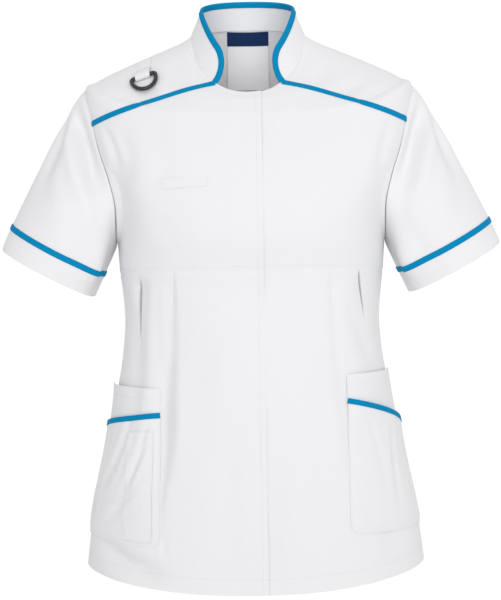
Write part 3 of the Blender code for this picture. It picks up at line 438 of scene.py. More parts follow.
def cloth_look(name, colour, rough, sheen, weave, high, turn, shine=0.25):
    """Woven cloth, whose ribs are so many millimetres apart and high, turned by some degrees.

    They lie on the piece's own UV map, which is in metres. The yarn and the rumples are on its
    Object coordinates, and the grooves of its stitches on the attribute stitch_mm.
    """
    look, tree, shader, tone = new_look(name, colour, rough, 0.035)
    shader.inputs["Sheen Weight"].default_value = sheen
    shader.inputs["Sheen Roughness"].default_value = 0.4
    shader.inputs["Specular IOR Level"].default_value = shine
    place = add_node(tree, "TexCoord")
    turned = add_node(tree, "Mapping", rotation=(0, 0, math.radians(turn)))
    tree.links.new(place.outputs["UV"], turned.inputs["Vector"])
    ribs = add_node(tree, "TexWave", scale=WAVE_AT_SCALE_ONE / (weave * MM), distortion=0.6, detail=1.0)
    tree.links.new(turned.outputs["Vector"], ribs.inputs["Vector"])
    tree.links.new(add_noise(tree, place, 420.0), tone)
    sewn = add_node(tree, "Attribute")
    sewn.attribute_name = "stitch_mm"
    groove = tree.nodes.new("ShaderNodeMapRange")
    groove.interpolation_type = "SMOOTHSTEP"
    groove.inputs["From Max"].default_value = STITCH_GROOVE
    tree.links.new(sewn.outputs["Fac"], groove.inputs["Value"])
    fine = add_relief(tree, ribs.outputs["Fac"], 0.6, high)
    soft = add_relief(tree, add_noise(tree, place, 34.0), 0.5, 0.9, fine)
    sunk = add_relief(tree, groove.outputs["Result"], 0.5, 0.35, soft)
    tree.links.new(sunk, shader.inputs["Normal"])
    return look


def plain_finish(name, colour, rough):
    """Thread or a moulding, with a fine grain of its own colour."""
    look, tree, _, tone = new_look(name, colour, rough, 0.15)
    tree.links.new(add_noise(tree, add_node(tree, "TexCoord"), 900.0), tone)
    return look


twill_look = cloth_look(
    "white_twill", (0.862, 0.862, 0.878), rough=0.72, sheen=0.1, weave=0.7, high=0.05, turn=63
)
WHITE_TWILL = (twill_look, "white_cloth", "cloth")
WHITE_THREAD = (plain_finish("white_thread", (0.80, 0.80, 0.82), 0.5), "white_cloth")

STITCH_PITCH = 3.0
STITCH_HALF = (1.15, 0.24, 0.2)
STITCH_RAISED = 0.05


def grid_normals(points):
    across = np.gradient(points, axis=1)
    up = np.gradient(points, axis=0)
    return unit(np.cross(across, up))


def run_beside(points, border, distance, start=0.0, end=1.0):
    """A line of stitches on a panel, at a distance from one of its borders."""
    grid = np.concatenate([points, grid_normals(points)], axis=-1)
    if border in ("left", "right"):
        grid = grid.transpose(1, 0, 2)
    if border in ("right", "top"):
        grid = grid[::-1]
    reach = lengths_along(grid[..., :3], 0)
    line = np.array([columns_at(distance, reach[:, i], grid[:, i]) for i in range(grid.shape[1])])
    first, last = int(start * (len(line) - 1)), int(round(end * (len(line) - 1)))
    return line[first : last + 1]


def runs_beside(points, borders, distance, start=0.0, end=1.0):
    return [run_beside(points, border, distance, start, end) for border in borders]


def sew(name, runs, thread):
    """Rows of single stitches, each a short grain of thread lying on the cloth."""
    bpy.ops.object.select_all(action="DESELECT")
    bpy.ops.mesh.primitive_ico_sphere_add(subdivisions=1, radius=1.0)
    grain = bpy.context.active_object
    shape = np.array([v.co[:] for v in grain.data.vertices]) * STITCH_HALF
    faces = np.array([p.vertices[:] for p in grain.data.polygons])
    bpy.data.objects.remove(grain)
    points, sides = [], []
    for line in runs:
        steps = np.linalg.norm(np.diff(line[:, :3], axis=0), axis=1)
        reach = np.concatenate([[0], np.cumsum(steps)])
        count = max(2, int(reach[-1] / STITCH_PITCH))
        at = (np.arange(count) + 0.5) * reach[-1] / count
        placed = columns_at(at, reach, line)
        centre, normal = placed[:, :3], unit(placed[:, 3:])
        along = unit(np.gradient(centre, axis=0))
        aside = unit(np.cross(normal, along))
        for c, a, b, n in zip(centre, along, aside, normal):
            sides.append(faces + len(points) * len(shape))
            points.append(c + n * STITCH_RAISED + shape @ np.array([a, b, n]))
    mesh = bpy.data.meshes.new(name)
    mesh.from_pydata((np.concatenate(points) * MM).tolist(), [], np.concatenate(sides).tolist())
    mesh.shade_smooth()
    piece = bpy.data.objects.new(name, mesh)
    bpy.context.scene.collection.objects.link(piece)
    look, slot = thread
    mesh.materials.append(look)
    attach(piece, "garment")


SHOULDER_TIP = (219.0, 0.0)
TIP_WEAR, TIP_SPREAD, TIP_ABOVE_Z = 3.0, 9.0, -100


def tip_worn_down(form):
    """How far the cloth lies lower at the sharp outer end of the shoulder."""
    away = (np.abs(form[..., X]) - SHOULDER_TIP[0]) ** 2 + (form[..., Y] - SHOULDER_TIP[1]) ** 2
    return TIP_WEAR * np.exp(-away / TIP_SPREAD**2) * (form[..., Z] > TIP_ABOVE_Z)


def pressed(base, normals, table, calm_borders, reach=16.0):
    """A panel's outer face with its creases, which fade toward some borders, and its ripples."""
    calm = rises(from_borders(base, calm_borders), 0, reach)
    relief = calm * creases(base[..., X], base[..., Z], table) + ripples(base)
    worn = np.zeros(base.shape)
    worn[..., Z] = tip_worn_down(base)
    return base - normals * relief[..., None] - worn


back_form, back_normals = form_and_normals(back_bodice_places())
back_form, back_normals = both_halves(back_form), both_halves(back_normals)
back_cloth = pressed(back_form, back_normals, BACK_CREASES, ("left", "right", "top"))
back_cloth = sunk_borders(back_cloth, back_normals, ("left", "right", "bottom", "top"))
ABOVE_BUST_SEAM = (("bottom",), TOPSTITCH)
cut_piece("back_bodice", back_cloth, WHITE_TWILL, stitches=(ABOVE_BUST_SEAM,))
sew("back_bodice_stitches", [run_beside(back_cloth, "bottom", TOPSTITCH)], WHITE_THREAD)

# The two fronts of the bodice. The right one laps over the left one down the middle, and its
# folded edge is stitched 7 mm in, over a fastening that doesn't show. Both end below the yokes.
ARMHOLE_FRONT = ((-21, -78), (-41, -110), (-58, -148), (-66, -187), (-61, -222), (-36, -252))
YOKE_SEAM = ((83, -67), (125, -80), (168, -93))
COLLAR_END_X = 42.5
YOKE_STEPS = 3
NECK_SHARE = 2
LAP_EDGE_X = 16.0
UNDERLAP_EDGE_X = -20.0
UNDERLAP_DEPTH = 1.15
UNDERLAP_FLAT_X = 20.0
UNDERLAP_RAMP_X = 46.0
LAP_STITCH = 7.0
CENTRE_STEP = 2.5
FRONT_SHARE = YOKE_SHARE + NECK_SHARE
ARM_FRONT = armhole_line(ARMHOLE_FRONT)
YOKE_END = (ARMHOLE_STEPS - YOKE_STEPS) * FINE


def mirrored(points):
    """The same panel on the wearer's right."""
    return points[:, ::-1] * np.array([-1, 1, 1])


def angle_at_x(x, t, near=FRONT):
    """The angles, near the front or the back, where rings t have this x."""
    x, t = np.broadcast_arrays(np.asarray(x, float), np.asarray(t, float))
    rising = near == FRONT
    low = np.full(t.shape, FRONT - 0.5 if rising else SIDE)
    high = np.full(t.shape, SIDE if rising else BACK + 0.5)
    for _ in range(45):
        middle = (low + high) / 2
        short = (body_point(middle, t)[..., X] < x) == rising
        low, high = np.where(short, middle, low), np.where(short, high, middle)
    return (low + high) / 2


def yoke_seam_line():
    """From the collar's end to the armhole, across the front."""
    start = (float(angle_at_x(COLLAR_END_X, NECK)), NECK)
    end = ARM_FRONT[YOKE_END]
    first, last = body_point(*start), body_point(*end)
    seen = np.array([(first[X], first[Z]), *YOKE_SEAM, (last[X], last[Z])])
    places = [start]
    for k in range(1, 6 * (len(seen) - 1)):
        x, z = float(blended(seen[:, 0], k / 6)), float(blended(seen[:, 1], k / 6))
        places.append(place_on_body((x, z), (X, Z), *places[-1]))
    return along_line(places + [tuple(end)], even(YOKE_SHARE * FINE))


YOKE_LINE = yoke_seam_line()


def front_bodice_places(edge_x):
    """From the closing edge to the side and armhole, and from the bust seam up to the yoke seam."""
    side = np.concatenate([SIDE_SEAM[:-1], ARM_FRONT[: YOKE_END + 1]])
    levels = [BUST_SEAM + (NECK - BUST_SEAM) * k / 12 for k in range(13)]
    inner = [(float(angle_at_x(UNDERLAP_FLAT_X, t)), t) for t in levels]
    edge = along_line(inner, even(len(side) - 1))
    bottom = ring_line(BUST_SEAM, edge[0][0], SIDE, FRONT_SHARE * FINE)
    neck = ring_line(NECK, edge[-1][0], YOKE_LINE[0][0], NECK_SHARE * FINE)
    grid = patch(bottom, np.concatenate([neck[:-1], YOKE_LINE]), edge, side)
    xs = np.arange(edge_x, UNDERLAP_FLAT_X - 1, CENTRE_STEP)
    t = np.repeat(grid[:, :1, 1], len(xs), axis=1)
    centre = np.stack([angle_at_x(xs[None, :], t), t], -1)
    return np.concatenate([centre, grid], axis=1)


def underlap_shift(x):
    """How far the under front is set back below the lap."""
    return UNDERLAP_DEPTH * (1 - rises(x, UNDERLAP_FLAT_X, UNDERLAP_RAMP_X))


# The creases of each front, as seen on the wearer's left half and on the right half mirrored
LEFT_FRONT_CREASES = (
    # from x, z, to x, z, bow, half width, deep
    (180, -165, 178, -290, 2, 20, 3.2),
    (188, -112, 168, -180, 4, 6, 1.8),
    (150, -120, 132, -215, 8, 16, 1.3),
    (60, -88, 74, -160, 6, 16, 0.8),
    (92, -266, 140, -250, -6, 10, 0.7),
)
RIGHT_FRONT_CREASES = (
    # from x, z, to x, z, bow, half width, deep
    (182, -160, 178, -290, 3, 22, 6.5),
    (192, -112, 172, -176, 4, 5, 2.8),
    (170, -120, 158, -200, 5, 12, 2.2),
    (128, -108, 112, -205, 8, 17, 1.2),
    (64, -86, 82, -150, 7, 15, 0.9),
    (96, -262, 140, -246, -6, 11, 0.9),
)


def front_bodice(edge_x, table, set_back):
    form, normals = form_and_normals(front_bodice_places(edge_x))
    cloth = pressed(form, normals, table, ("right", "top"))
    if set_back:
        cloth = cloth - normals * underlap_shift(form[..., X])[..., None]
    return sunk_borders(cloth, normals, ("right", "bottom", "top"))


left_front_cloth = front_bodice(UNDERLAP_EDGE_X, LEFT_FRONT_CREASES, True)
right_front_cloth = mirrored(front_bodice(-LAP_EDGE_X, RIGHT_FRONT_CREASES, False))
BESIDE_LAP_EDGE = (("right",), LAP_STITCH)
cut_piece("front_bodice_left", left_front_cloth, WHITE_TWILL, stitches=(ABOVE_BUST_SEAM,))
cut_piece("front_bodice_right", right_front_cloth, WHITE_TWILL, stitches=(ABOVE_BUST_SEAM, BESIDE_LAP_EDGE))
bodice_runs = [
    run_beside(left_front_cloth, "bottom", TOPSTITCH, 0.16, 1.0),
    run_beside(right_front_cloth, "bottom", TOPSTITCH),
    run_beside(right_front_cloth, "right", LAP_STITCH),
]
sew("front_bodice_stitches", bodice_runs, WHITE_THREAD)

# The skirt, of two fronts and one back, from the seam below the bust to the hem. Each panel is
# taken up in pressed pleats at that seam, which open out and fade toward the hip.
FRONT_PLEATS = {
    # x, drift, width of the facet in front of it above and below, width to the side, depth above
    # and below, fades at z, slit's depth, half width, from z, to z
    "right": (
        (100.0, 26.0, (3.5, 20.0), 17.0, (2.0, 9.5), -660, 1.6, 0.9, -302, -360),
        (146.0, 10.0, (17.0, 14.0), 9.0, (6.5, 4.0), -560, 13.0, 1.6, -312, -408),
    ),
    "left": (
        (101.0, 24.0, (5.0, 12.0), 12.0, (1.4, 2.2), -620, 0.8, 0.9, -302, -380),
        (139.0, 24.0, (12.0, 15.0), 9.0, (3.6, 2.0), -500, 11.0, 1.25, -306, -380),
    ),
}
BACK_PLEATS = (
    (62.0, 16.0, (5.0, 13.0), 13.0, (2.2, 3.2), -640, 1.6, 0.9, -302, -380),
    (128.0, 18.0, (11.0, 16.0), 9.0, (4.2, 2.4), -600, 9.0, 1.3, -306, -380),
)
# A pleat's facet has its lower width at the first share of its run down, and by the second share
# it has lost the third one of that width
FACET_FULL, FACET_NARROWED, FACET_LOST = 0.55, 0.85, 0.6
LIPS_CLOSE, LIPS_OFF, LIPS_WIDTH, LIPS_AT_SLIT = 0.5, 2.2, 1.1, 8
SKIRT_ROWS = 112
FLANK_STEPS = 14
FLANK_X, BACK_FLANK_X = 160.0, 152.0
HEM_STITCH = 20.0
LEFT_SKIRT_CREASES = (
    # from x, z, to x, z, bow, half width, deep
    (126, -346, 158, -432, 4, 8, 1.8),
    (34, -420, 44, -600, -6, 18, 0.8),
    (86, -430, 98, -700, 6, 15, 1.7),
    (20, -560, 26, -712, 5, 16, 1.0),
    (62, -600, 66, -712, -4, 14, 1.0),
    (150, -320, 172, -430, -6, 11, 1.2),
    (120, -520, 196, -470, 8, 14, 1.2),
    (160, -620, 186, -705, -6, 15, 1.8),
)
RIGHT_SKIRT_CREASES = (
    # from x, z, to x, z, bow, half width, deep
    (112, -420, 114, -580, -4, 9, 2.4),
    (124, -318, 127, -470, 2, 5, 0.9),
    (60, -380, 70, -560, -7, 17, 1.0),
    (34, -520, 26, -712, -5, 15, 1.3),
    (119, -646, 116, -674, 1, 3, 1.3),
    (200, -660, 116, -694, -6, 12, 7.5),
    (160, -560, 188, -690, -7, 16, 2.2),
    (170, -330, 158, -430, 5, 10, 1.6),
)
BACK_SKIRT_CREASES = BACK_CREASES + (
    # from x, z, to x, z, bow, half width, deep
    (160, -520, 186, -700, -8, 17, 2.8),
    (-164, -500, -190, -690, 8, 16, 3.0),
    (64, -600, 70, -712, 4, 18, 2.0),
    (-72, -590, -66, -710, -5, 19, 2.0),
)


def pleat_run(z, fades_z):
    """How far down its length a pleat is at this height, from 0 at the seam to 1."""
    level = RINGS[int(BUST_SEAM)][0]
    return np.clip((level - z) / (level - fades_z), 0, 1)


def pleat_depth(form, pleats):
    """How far the pleats draw the skirt in, and how far the lips of their slits lean together."""
    total = np.zeros(form.shape[:-1])
    closing = np.zeros(form.shape[:-1])
    x, z = np.abs(form[..., X]), form[..., Z]
    for pleat_x, drift, inner, outer, deep, fades_z, slit, half, slit_z, slit_low_z in pleats:
        run = pleat_run(z, fades_z)
        off = x - pleat_x - drift * run
        lower = np.clip(run / FACET_FULL, 0, 1)
        facet = inner[0] + (inner[1] - inner[0]) * lower
        facet = facet * (1 - FACET_LOST * rises(run, FACET_FULL, FACET_NARROWED))
        share = np.clip(1 + off / facet, 0, 1)
        share = np.sin(math.pi / 2 * np.minimum(1, 1.2 * share**2 / (share + 0.2)))
        profile = np.where(off < 0, share, np.exp(-((off / (outer * (0.8 + 0.7 * run))) ** 2)))
        opened = rises(RINGS[int(BUST_SEAM)][0] - z, 0, 20) * (1 - rises(run, 0.5, 1.0))
        total += (deep[0] + (deep[1] - deep[0]) * lower) * opened * profile
        down = (slit_z - z) / (slit_z - slit_low_z)
        held = rises(down, -0.02, 0.2) * (1 - rises(down, 0.35, 1.05))
        width = half * (0.45 + 0.55 * held)
        total += slit * held * np.exp(-((off / width) ** 4))
        lips = np.exp(-(((np.abs(off) - LIPS_OFF) / LIPS_WIDTH) ** 2)) * np.sign(off) * np.sign(form[..., X])
        closing -= LIPS_CLOSE * min(1, slit / LIPS_AT_SLIT) * held * lips
    return total, closing


def skirt_columns(pleats, low_x, high_x):
    """x of the skirt's columns at the bust seam, close together at each pleat."""
    xs = [low_x]
    while xs[-1] < high_x - 2:
        off = min(abs(xs[-1] - row[0]) for row in pleats)
        xs.append(xs[-1] + (0.6 if off < 4 else 1.5 if off < 9 else 3.4))
    return np.array(xs[:-1] + [high_x])


def skirt_levels():
    """The rings of the skirt's rows, which are evenly spaced at the side."""
    heights = np.linspace(RINGS[0][0], RINGS[int(BUST_SEAM)][0], SKIRT_ROWS + 1)
    rings = np.arange(int(BUST_SEAM) + 1)
    return np.interp(heights, RINGS[: int(BUST_SEAM) + 1, 0], rings)


def skirt_places(angles, pleats, near):
    """Places of the skirt's columns, which follow the lines of the pleats down from the seam."""
    levels = skirt_levels()
    t = np.repeat(levels[:, None], len(angles), axis=1)
    knots = {float(angles[0]): np.zeros(len(t)), float(angles[-1]): np.zeros(len(t))}
    for pleat_x, drift, _, _, _, fades_z, *_ in pleats:
        start = float(angle_at_x(pleat_x, BUST_SEAM, near))
        run = pleat_run(body_point(np.full(len(t), start), levels)[:, Z], fades_z)
        knots[start] = angle_at_x(pleat_x + drift * run, levels, near) - start
    order = sorted(knots)
    shift = np.array([np.interp(angles, order, [knots[k][row] for k in order]) for row in range(len(t))])
    return np.stack([angles[None, :] + shift, t], -1)


def front_skirt_places(edge_x, pleats):
    first = max(edge_x, 0.0) + 12.0
    columns = skirt_columns(pleats, first, FLANK_X)
    angles = angle_at_x(columns, np.full(len(columns), BUST_SEAM))
    flank = angles[-1] + (SIDE - angles[-1]) * even(FLANK_STEPS)[1:]
    main = skirt_places(np.concatenate([angles, flank]), pleats, FRONT)
    share = np.arange(edge_x, first - 1, CENTRE_STEP)
    t = np.repeat(main[:, :1, 1], len(share), axis=1)
    inner = body_point(main[:, :1, 0], main[:, :1, 1])[..., X]
    xs = edge_x + (share[None, :] - edge_x) * (inner - edge_x) / (first - edge_x)
    return np.concatenate([np.stack([angle_at_x(xs, t), t], -1), main], axis=1)


def pleated(cloth, form, normals, pleats):
    deep, closing = pleat_depth(form, pleats)
    along = unit(np.stack([-normals[..., Y], normals[..., X], 0 * closing], -1))
    along = along * np.where(along[..., X:Y] < 0, -1, 1)
    inward = -unit(normals * 0.4 + np.array([0, 0.6, 0]) * np.sign(normals[..., Y:Z]))
    return cloth + inward * deep[..., None] + along * closing[..., None]


def skirt_cloth(places, table, pleats):
    """The outer face of a front skirt panel before its seams are sunk, and the ways out of it."""
    form, normals = form_and_normals(places)
    return pleated(pressed(form, normals, table, ("right",)), form, normals, pleats), normals


def front_skirt(side, edge_x, table):
    """The cloth of one front of the skirt, worked out on the wearer's left."""
    places = front_skirt_places(edge_x, FRONT_PLEATS[side])
    cloth, normals = skirt_cloth(places, table, FRONT_PLEATS[side])
    if side == "left":
        set_back = underlap_shift(body_point(places[..., 0], places[..., 1])[..., X])
        cloth = cloth - normals * set_back[..., None]
    return sunk_borders(cloth, normals, ("right", "top"))


left_skirt_cloth = front_skirt("left", UNDERLAP_EDGE_X, LEFT_SKIRT_CREASES)
right_skirt_cloth = mirrored(front_skirt("right", -LAP_EDGE_X, RIGHT_SKIRT_CREASES))
back_columns = skirt_columns(BACK_PLEATS, 0.0, BACK_FLANK_X)
back_angles = angle_at_x(back_columns, np.full(len(back_columns), BUST_SEAM), BACK)[::-1]
flank = SIDE + (back_angles[0] - SIDE) * even(FLANK_STEPS)[:-1]
form, normals = form_and_normals(skirt_places(np.concatenate([flank, back_angles]), BACK_PLEATS, BACK))
form, normals = both_halves(form), both_halves(normals)
back_skirt_cloth = pressed(form, normals, BACK_SKIRT_CREASES, ("left", "right"))
back_skirt_cloth = pleated(back_skirt_cloth, form, normals, BACK_PLEATS)
back_skirt_cloth = sunk_borders(back_skirt_cloth, normals, ("left", "right", "top"))
ABOVE_HEM = (("bottom",), HEM_STITCH)
SKIRT_PANELS = (
    # node, cloth, stitches
    ("front_skirt_left", left_skirt_cloth, (ABOVE_HEM,)),
    ("front_skirt_right", right_skirt_cloth, (ABOVE_HEM, BESIDE_LAP_EDGE)),
    ("back_skirt", back_skirt_cloth, (ABOVE_HEM,)),
)
for node, cloth, stitches in SKIRT_PANELS:
    cut_piece(node, cloth, WHITE_TWILL, stitches=stitches)
skirt_runs = [run_beside(cloth, "bottom", HEM_STITCH) for _, cloth, _ in SKIRT_PANELS]
skirt_runs.append(run_beside(right_skirt_cloth, "right", LAP_STITCH))
sew("skirt_stitches", skirt_runs, WHITE_THREAD)

# The shoulder yokes, one over each shoulder, from the yoke seam on the chest to the shoulder seam
# just behind the top. A blue tape 8 mm wide is sewn down along each yoke seam.
YOKE_CREASES = (
    # from x, z, to x, z, bow, half width, deep
    (150, -58, 120, -88, 5, 9, 2.4),
    (185, -70, 150, -92, 4, 8, 1.8),
    (104, -30, 78, -62, -4, 10, 1.6),
    (84, -6, 66, -50, 4, 4, 1.5),
    (70, 2, 56, -42, -3, 4, 1.2),
)
CALM_AT_YOKE_SEAMS = 12.0
PIPING_WIDTH = 8.0
PIPING_HIGH = 0.8
PIPING_ENDS = (1.5, 0.5)
PIPING_STITCH = 1.0
TAPE_THICK = 0.6
TAPE_ROWS = 11


def yoke_cloth_points():
    armhole = np.concatenate([ARM_FRONT[YOKE_END:], ARM_BACK[::-1][1 : FINE + 1]])
    neck = ring_line(NECK, YOKE_LINE[0][0], SHOULDER_LINE[0][0], len(armhole) - 1)
    form, normals = form_and_normals(patch(YOKE_LINE, SHOULDER_LINE, neck, armhole))
    cloth = pressed(form, normals, YOKE_CREASES, ("left", "right", "top"), CALM_AT_YOKE_SEAMS)
    return sunk_borders(cloth, normals, ("left", "right", "top"))


def tape_profile(shares):
    """How high a woven tape stands, from one edge at -1 to the other at 1."""
    return PIPING_HIGH * (1 - np.abs(shares) ** 5)


def tape_on_line(line):
    """The piping, with soft edges, centred on a line of places on the body."""
    middle, normals = form_and_normals(line)
    middle = middle - normals * ripples(middle)[:, None]
    reach = lengths_along(middle[None], 1)[0]
    start, end = PIPING_ENDS
    shares = np.linspace(start / reach[-1], 1 - end / reach[-1], len(line)) * reach[-1]
    middle, normals = columns_at(shares, reach, middle), unit(columns_at(shares, reach, normals))
    aside = unit(np.cross(normals, np.gradient(middle, axis=0)))
    rows = []
    for share in np.linspace(-1, 1, TAPE_ROWS):
        lift = 0.5 + tape_profile(share)
        rows.append(middle + aside * (share * PIPING_WIDTH / 2) + normals * lift)
    return np.array(rows)


def piping(node, points, tube=False):
    """A blue tape laid over a seam, with a line of stitches along both of its edges."""
    cut_piece(node, points, BLUE_TAPE, TAPE_THICK, tube=tube)
    sew(f"{node}_blue_stitches", runs_beside(points, ("bottom", "top"), PIPING_STITCH), BLUE_THREAD)


def as_cut(points):
    """The panel as it is worked out, on the wearer's left."""
    return points


SIDES = {"left": as_cut, "right": mirrored}
tape_look = cloth_look(
    "blue_tape_weave", (0.0, 0.255, 0.51), rough=0.7, sheen=0.0, weave=0.6, high=0.06, turn=90, shine=0.05
)
BLUE_TAPE = (tape_look, "blue_tape", "tape")
BLUE_THREAD = (plain_finish("blue_thread", (0.0, 0.18, 0.42), 0.5), "blue_tape")
yoke_points = yoke_cloth_points()
tape_points = tape_on_line(YOKE_LINE)
for side, put in SIDES.items():
    cut_piece(f"shoulder_yoke_{side}", put(yoke_points), WHITE_TWILL)
    piping(f"yoke_piping_{side}", put(tape_points))

# The short sleeves, set into the armholes. Each ends in a turned-up cuff 31 mm deep, and a blue
# tape covers the seam between the two.
CUFF_CENTRE = np.array((272.0, -10.0, -303.0))
CUFF_OUT = unit(np.array((0.885, 0.0, 0.465)))
CUFF_FORWARD = unit(np.array((-0.04, -0.99, -0.11)))
CUFF_HALF_WIDTH, CUFF_HALF_DEPTH = 69.5, 62.0
SLEEVE_BULGE, SLEEVE_HEAD = 9.0, 5.5
CUFF_BAND = 31.0
CUFF_UNDER_TAPE = 1.0
CUFF_THICK = 1.8
CUFF_RAISED = 0.25
CUFF_STITCH = 3.5
CUFF_ROWS = 12
SLEEVE_ROWS = 46
SLEEVE_TAPE_LOW, SLEEVE_TAPE_HIGH = -2.0, 6.0
SLEEVE_TAPE_RAISED = 0.75
SLEEVE_CREASES = (
    # across from the middle of the front, down from the armhole, to across, down, bow, width, deep
    (86, -26, -20, -16, 0, 15, 15.0),
    (94, -42, 80, -120, 6, 13, 5.0),
    (64, -30, 12, -150, 6, 24, -2.6),
    (-58, -24, -50, -200, 0, 17, -9.0),
    (140, -16, 168, -120, 8, 14, 3.4),
    (206, -18, 190, -135, -6, 13, 3.0),
    (236, -14, 150, -24, 5, 10, 4.0),
    (10, -120, 34, -175, 5, 12, 1.0),
)
ARMHOLE_LOOP = np.concatenate([ARM_FRONT, ARM_BACK[::-1][1:]])
ARMHOLE_POINTS = body_point(ARMHOLE_LOOP[:, 0], ARMHOLE_LOOP[:, 1])
TURNS = np.linspace(0, 2 * math.pi, len(ARMHOLE_LOOP))
SLEEVE_RADIUS = 64.0


def sleeve_form(v):
    """Rows of points round the wearer's left sleeve: v is 0 at the armhole and 1 at the hem."""
    turn = TURNS[None, :]
    out, forward = -np.cos(turn)[..., None], np.sin(turn)[..., None]
    end = CUFF_CENTRE + out * CUFF_OUT * CUFF_HALF_WIDTH + forward * CUFF_FORWARD * CUFF_HALF_DEPTH
    start = np.broadcast_to(ARMHOLE_POINTS[None], end.shape)
    v = np.broadcast_to(v, (v.shape[0], len(TURNS)))[..., None]
    swell = np.maximum(0, np.sin(math.pi * v))
    bulge = np.sign(forward) * CUFF_FORWARD * SLEEVE_BULGE * forward**2 * swell**1.2
    head = CUFF_OUT * SLEEVE_HEAD * np.maximum(0, out) * swell**0.5
    return start + (end - start) * v + bulge + head


SLEEVE_LENGTHS = np.linalg.norm(np.diff(sleeve_form(np.array([[0.0], [1.0]])), axis=0)[0], axis=-1)


def sleeve_cloth(from_hem, to_hem, rows, lift=0.0, profile=None):
    """A band of the sleeve between two distances up from its hem. None stands for the armhole."""
    low = 1 - from_hem / SLEEVE_LENGTHS
    high = np.zeros(len(TURNS)) if to_hem is None else 1 - to_hem / SLEEVE_LENGTHS
    v = low + (high - low) * even(rows)[:, None]
    form = sleeve_form(v)
    step = 0.01
    up = sleeve_form(np.maximum(v - step, 0)) - sleeve_form(np.minimum(v + step, 1))
    ahead, behind = np.roll(form[:, :-1], -1, axis=1), np.roll(form[:, :-1], 1, axis=1)
    around = ahead - behind
    around = np.concatenate([around, around[:, :1]], axis=1)
    normals = unit(np.cross(around, up))
    across = (TURNS[None, :] - math.pi / 2) * SLEEVE_RADIUS + 0 * v
    relief = creases(across, -v * SLEEVE_LENGTHS, SLEEVE_CREASES) * rises(v, -0.02, 0.07)
    relief = relief * (1 - 0.75 * rises(v, 0.62, 0.9)) + ripples(form) * rises(v, 0, 0.1)
    raised = lift if profile is None else lift + profile[:, None]
    cloth = form + normals * (raised - relief)[..., None]
    cloth[..., Z] -= tip_worn_down(form)
    cloth[:, -1] = cloth[:, 0]
    return cloth, normals


sleeve_points, normals = sleeve_cloth(CUFF_BAND - CUFF_UNDER_TAPE, None, SLEEVE_ROWS)
sleeve_points = sunk_borders(sleeve_points, normals, ("top",))
sleeve_points[:, -1] = sleeve_points[:, 0]
cuff_points = sleeve_cloth(0.0, CUFF_BAND, CUFF_ROWS, CUFF_RAISED)[0]
low, high = CUFF_BAND + SLEEVE_TAPE_LOW, CUFF_BAND + SLEEVE_TAPE_HIGH
profile = tape_profile(np.linspace(-1, 1, TAPE_ROWS))
sleeve_tape_points = sleeve_cloth(low, high, TAPE_ROWS - 1, SLEEVE_TAPE_RAISED, profile)[0]
cuff_stitches = ((("top",), CUFF_STITCH),)
for side, put in SIDES.items():
    cut_piece(f"sleeve_{side}", put(sleeve_points), WHITE_TWILL, tube=True)
    cut_piece(f"cuff_{side}", put(cuff_points), WHITE_TWILL, CUFF_THICK, cuff_stitches, tube=True)
    piping(f"sleeve_piping_{side}", put(sleeve_tape_points), tube=True)

# The stand collar, two layers of twill stiffened between. It leans inward, opens in front with
# rounded corners, and is bound along its free edge with the blue tape folded over it.
COLLAR_HEIGHT, COLLAR_BACK_HEIGHT = 38.0, 39.0
COLLAR_LEAN = 0.40
COLLAR_CORNER = 44.0
COLLAR_START = -0.8
COLLAR_THICK = 1.8
COLLAR_ROWS = 14
CORNER_STEPS = 24
COLLAR_STEPS = 130
BINDING_WIDTH = 7.0
BINDING_STITCH = 1.8
BINDING_END_HEIGHT = 0.2
NECK_STEPS = 480
neck_turns = np.linspace(YOKE_LINE[0][0], math.pi - YOKE_LINE[0][0], NECK_STEPS + 1)
NECK_POINTS = body_point(neck_turns, np.full(NECK_STEPS + 1, NECK))
NECK_REACH = lengths_along(NECK_POINTS[None], 1)[0]
NECK_LENGTH = NECK_REACH[-1]


def neck_at(s):
    return columns_at(s, NECK_REACH, NECK_POINTS)


def collar_frame(s):
    """The seam's point at s, the way up the collar there and the way out of it."""
    inside = np.clip(s, 0, NECK_LENGTH)
    along = unit(neck_at(np.minimum(inside + 4, NECK_LENGTH)) - neck_at(np.maximum(inside - 4, 0)))
    upright = unit(np.array([0, 0, 1.0]) - along * along[..., Z:])
    out = unit(np.cross(along, upright))
    raised = upright * math.cos(COLLAR_LEAN) - out * math.sin(COLLAR_LEAN)
    return neck_at(s) + along * (s - inside)[..., None], raised, unit(np.cross(along, raised))


def collar_point(s, h, proud=0.0):
    """On the collar at s, h up from its seam and so far out, with the slight bow of its edge."""
    base, raised, out = collar_frame(s)
    bow = 0.5 * np.sin(0.045 * s + 0.6) * np.clip(h / COLLAR_HEIGHT, 0, 1.2)
    return base + raised * (COLLAR_START + h)[..., None] + out * (proud + bow)[..., None]


def collar_edge():
    """The collar's free edge, as the way along the seam and the height, from end to end."""
    turn = np.radians(6 + 84 * even(CORNER_STEPS))
    corner = np.stack([COLLAR_CORNER * (1 - np.cos(turn)), COLLAR_HEIGHT * np.sin(turn)], -1)
    share = even(COLLAR_STEPS)[1:-1]
    rise = (COLLAR_BACK_HEIGHT - COLLAR_HEIGHT) * np.sin(math.pi * share)
    back = COLLAR_CORNER + (NECK_LENGTH - 2 * COLLAR_CORNER) * share
    far = np.stack([NECK_LENGTH - corner[:, 0], corner[:, 1]], -1)[::-1]
    return np.concatenate([corner, np.stack([back, COLLAR_HEIGHT + rise], -1), far])


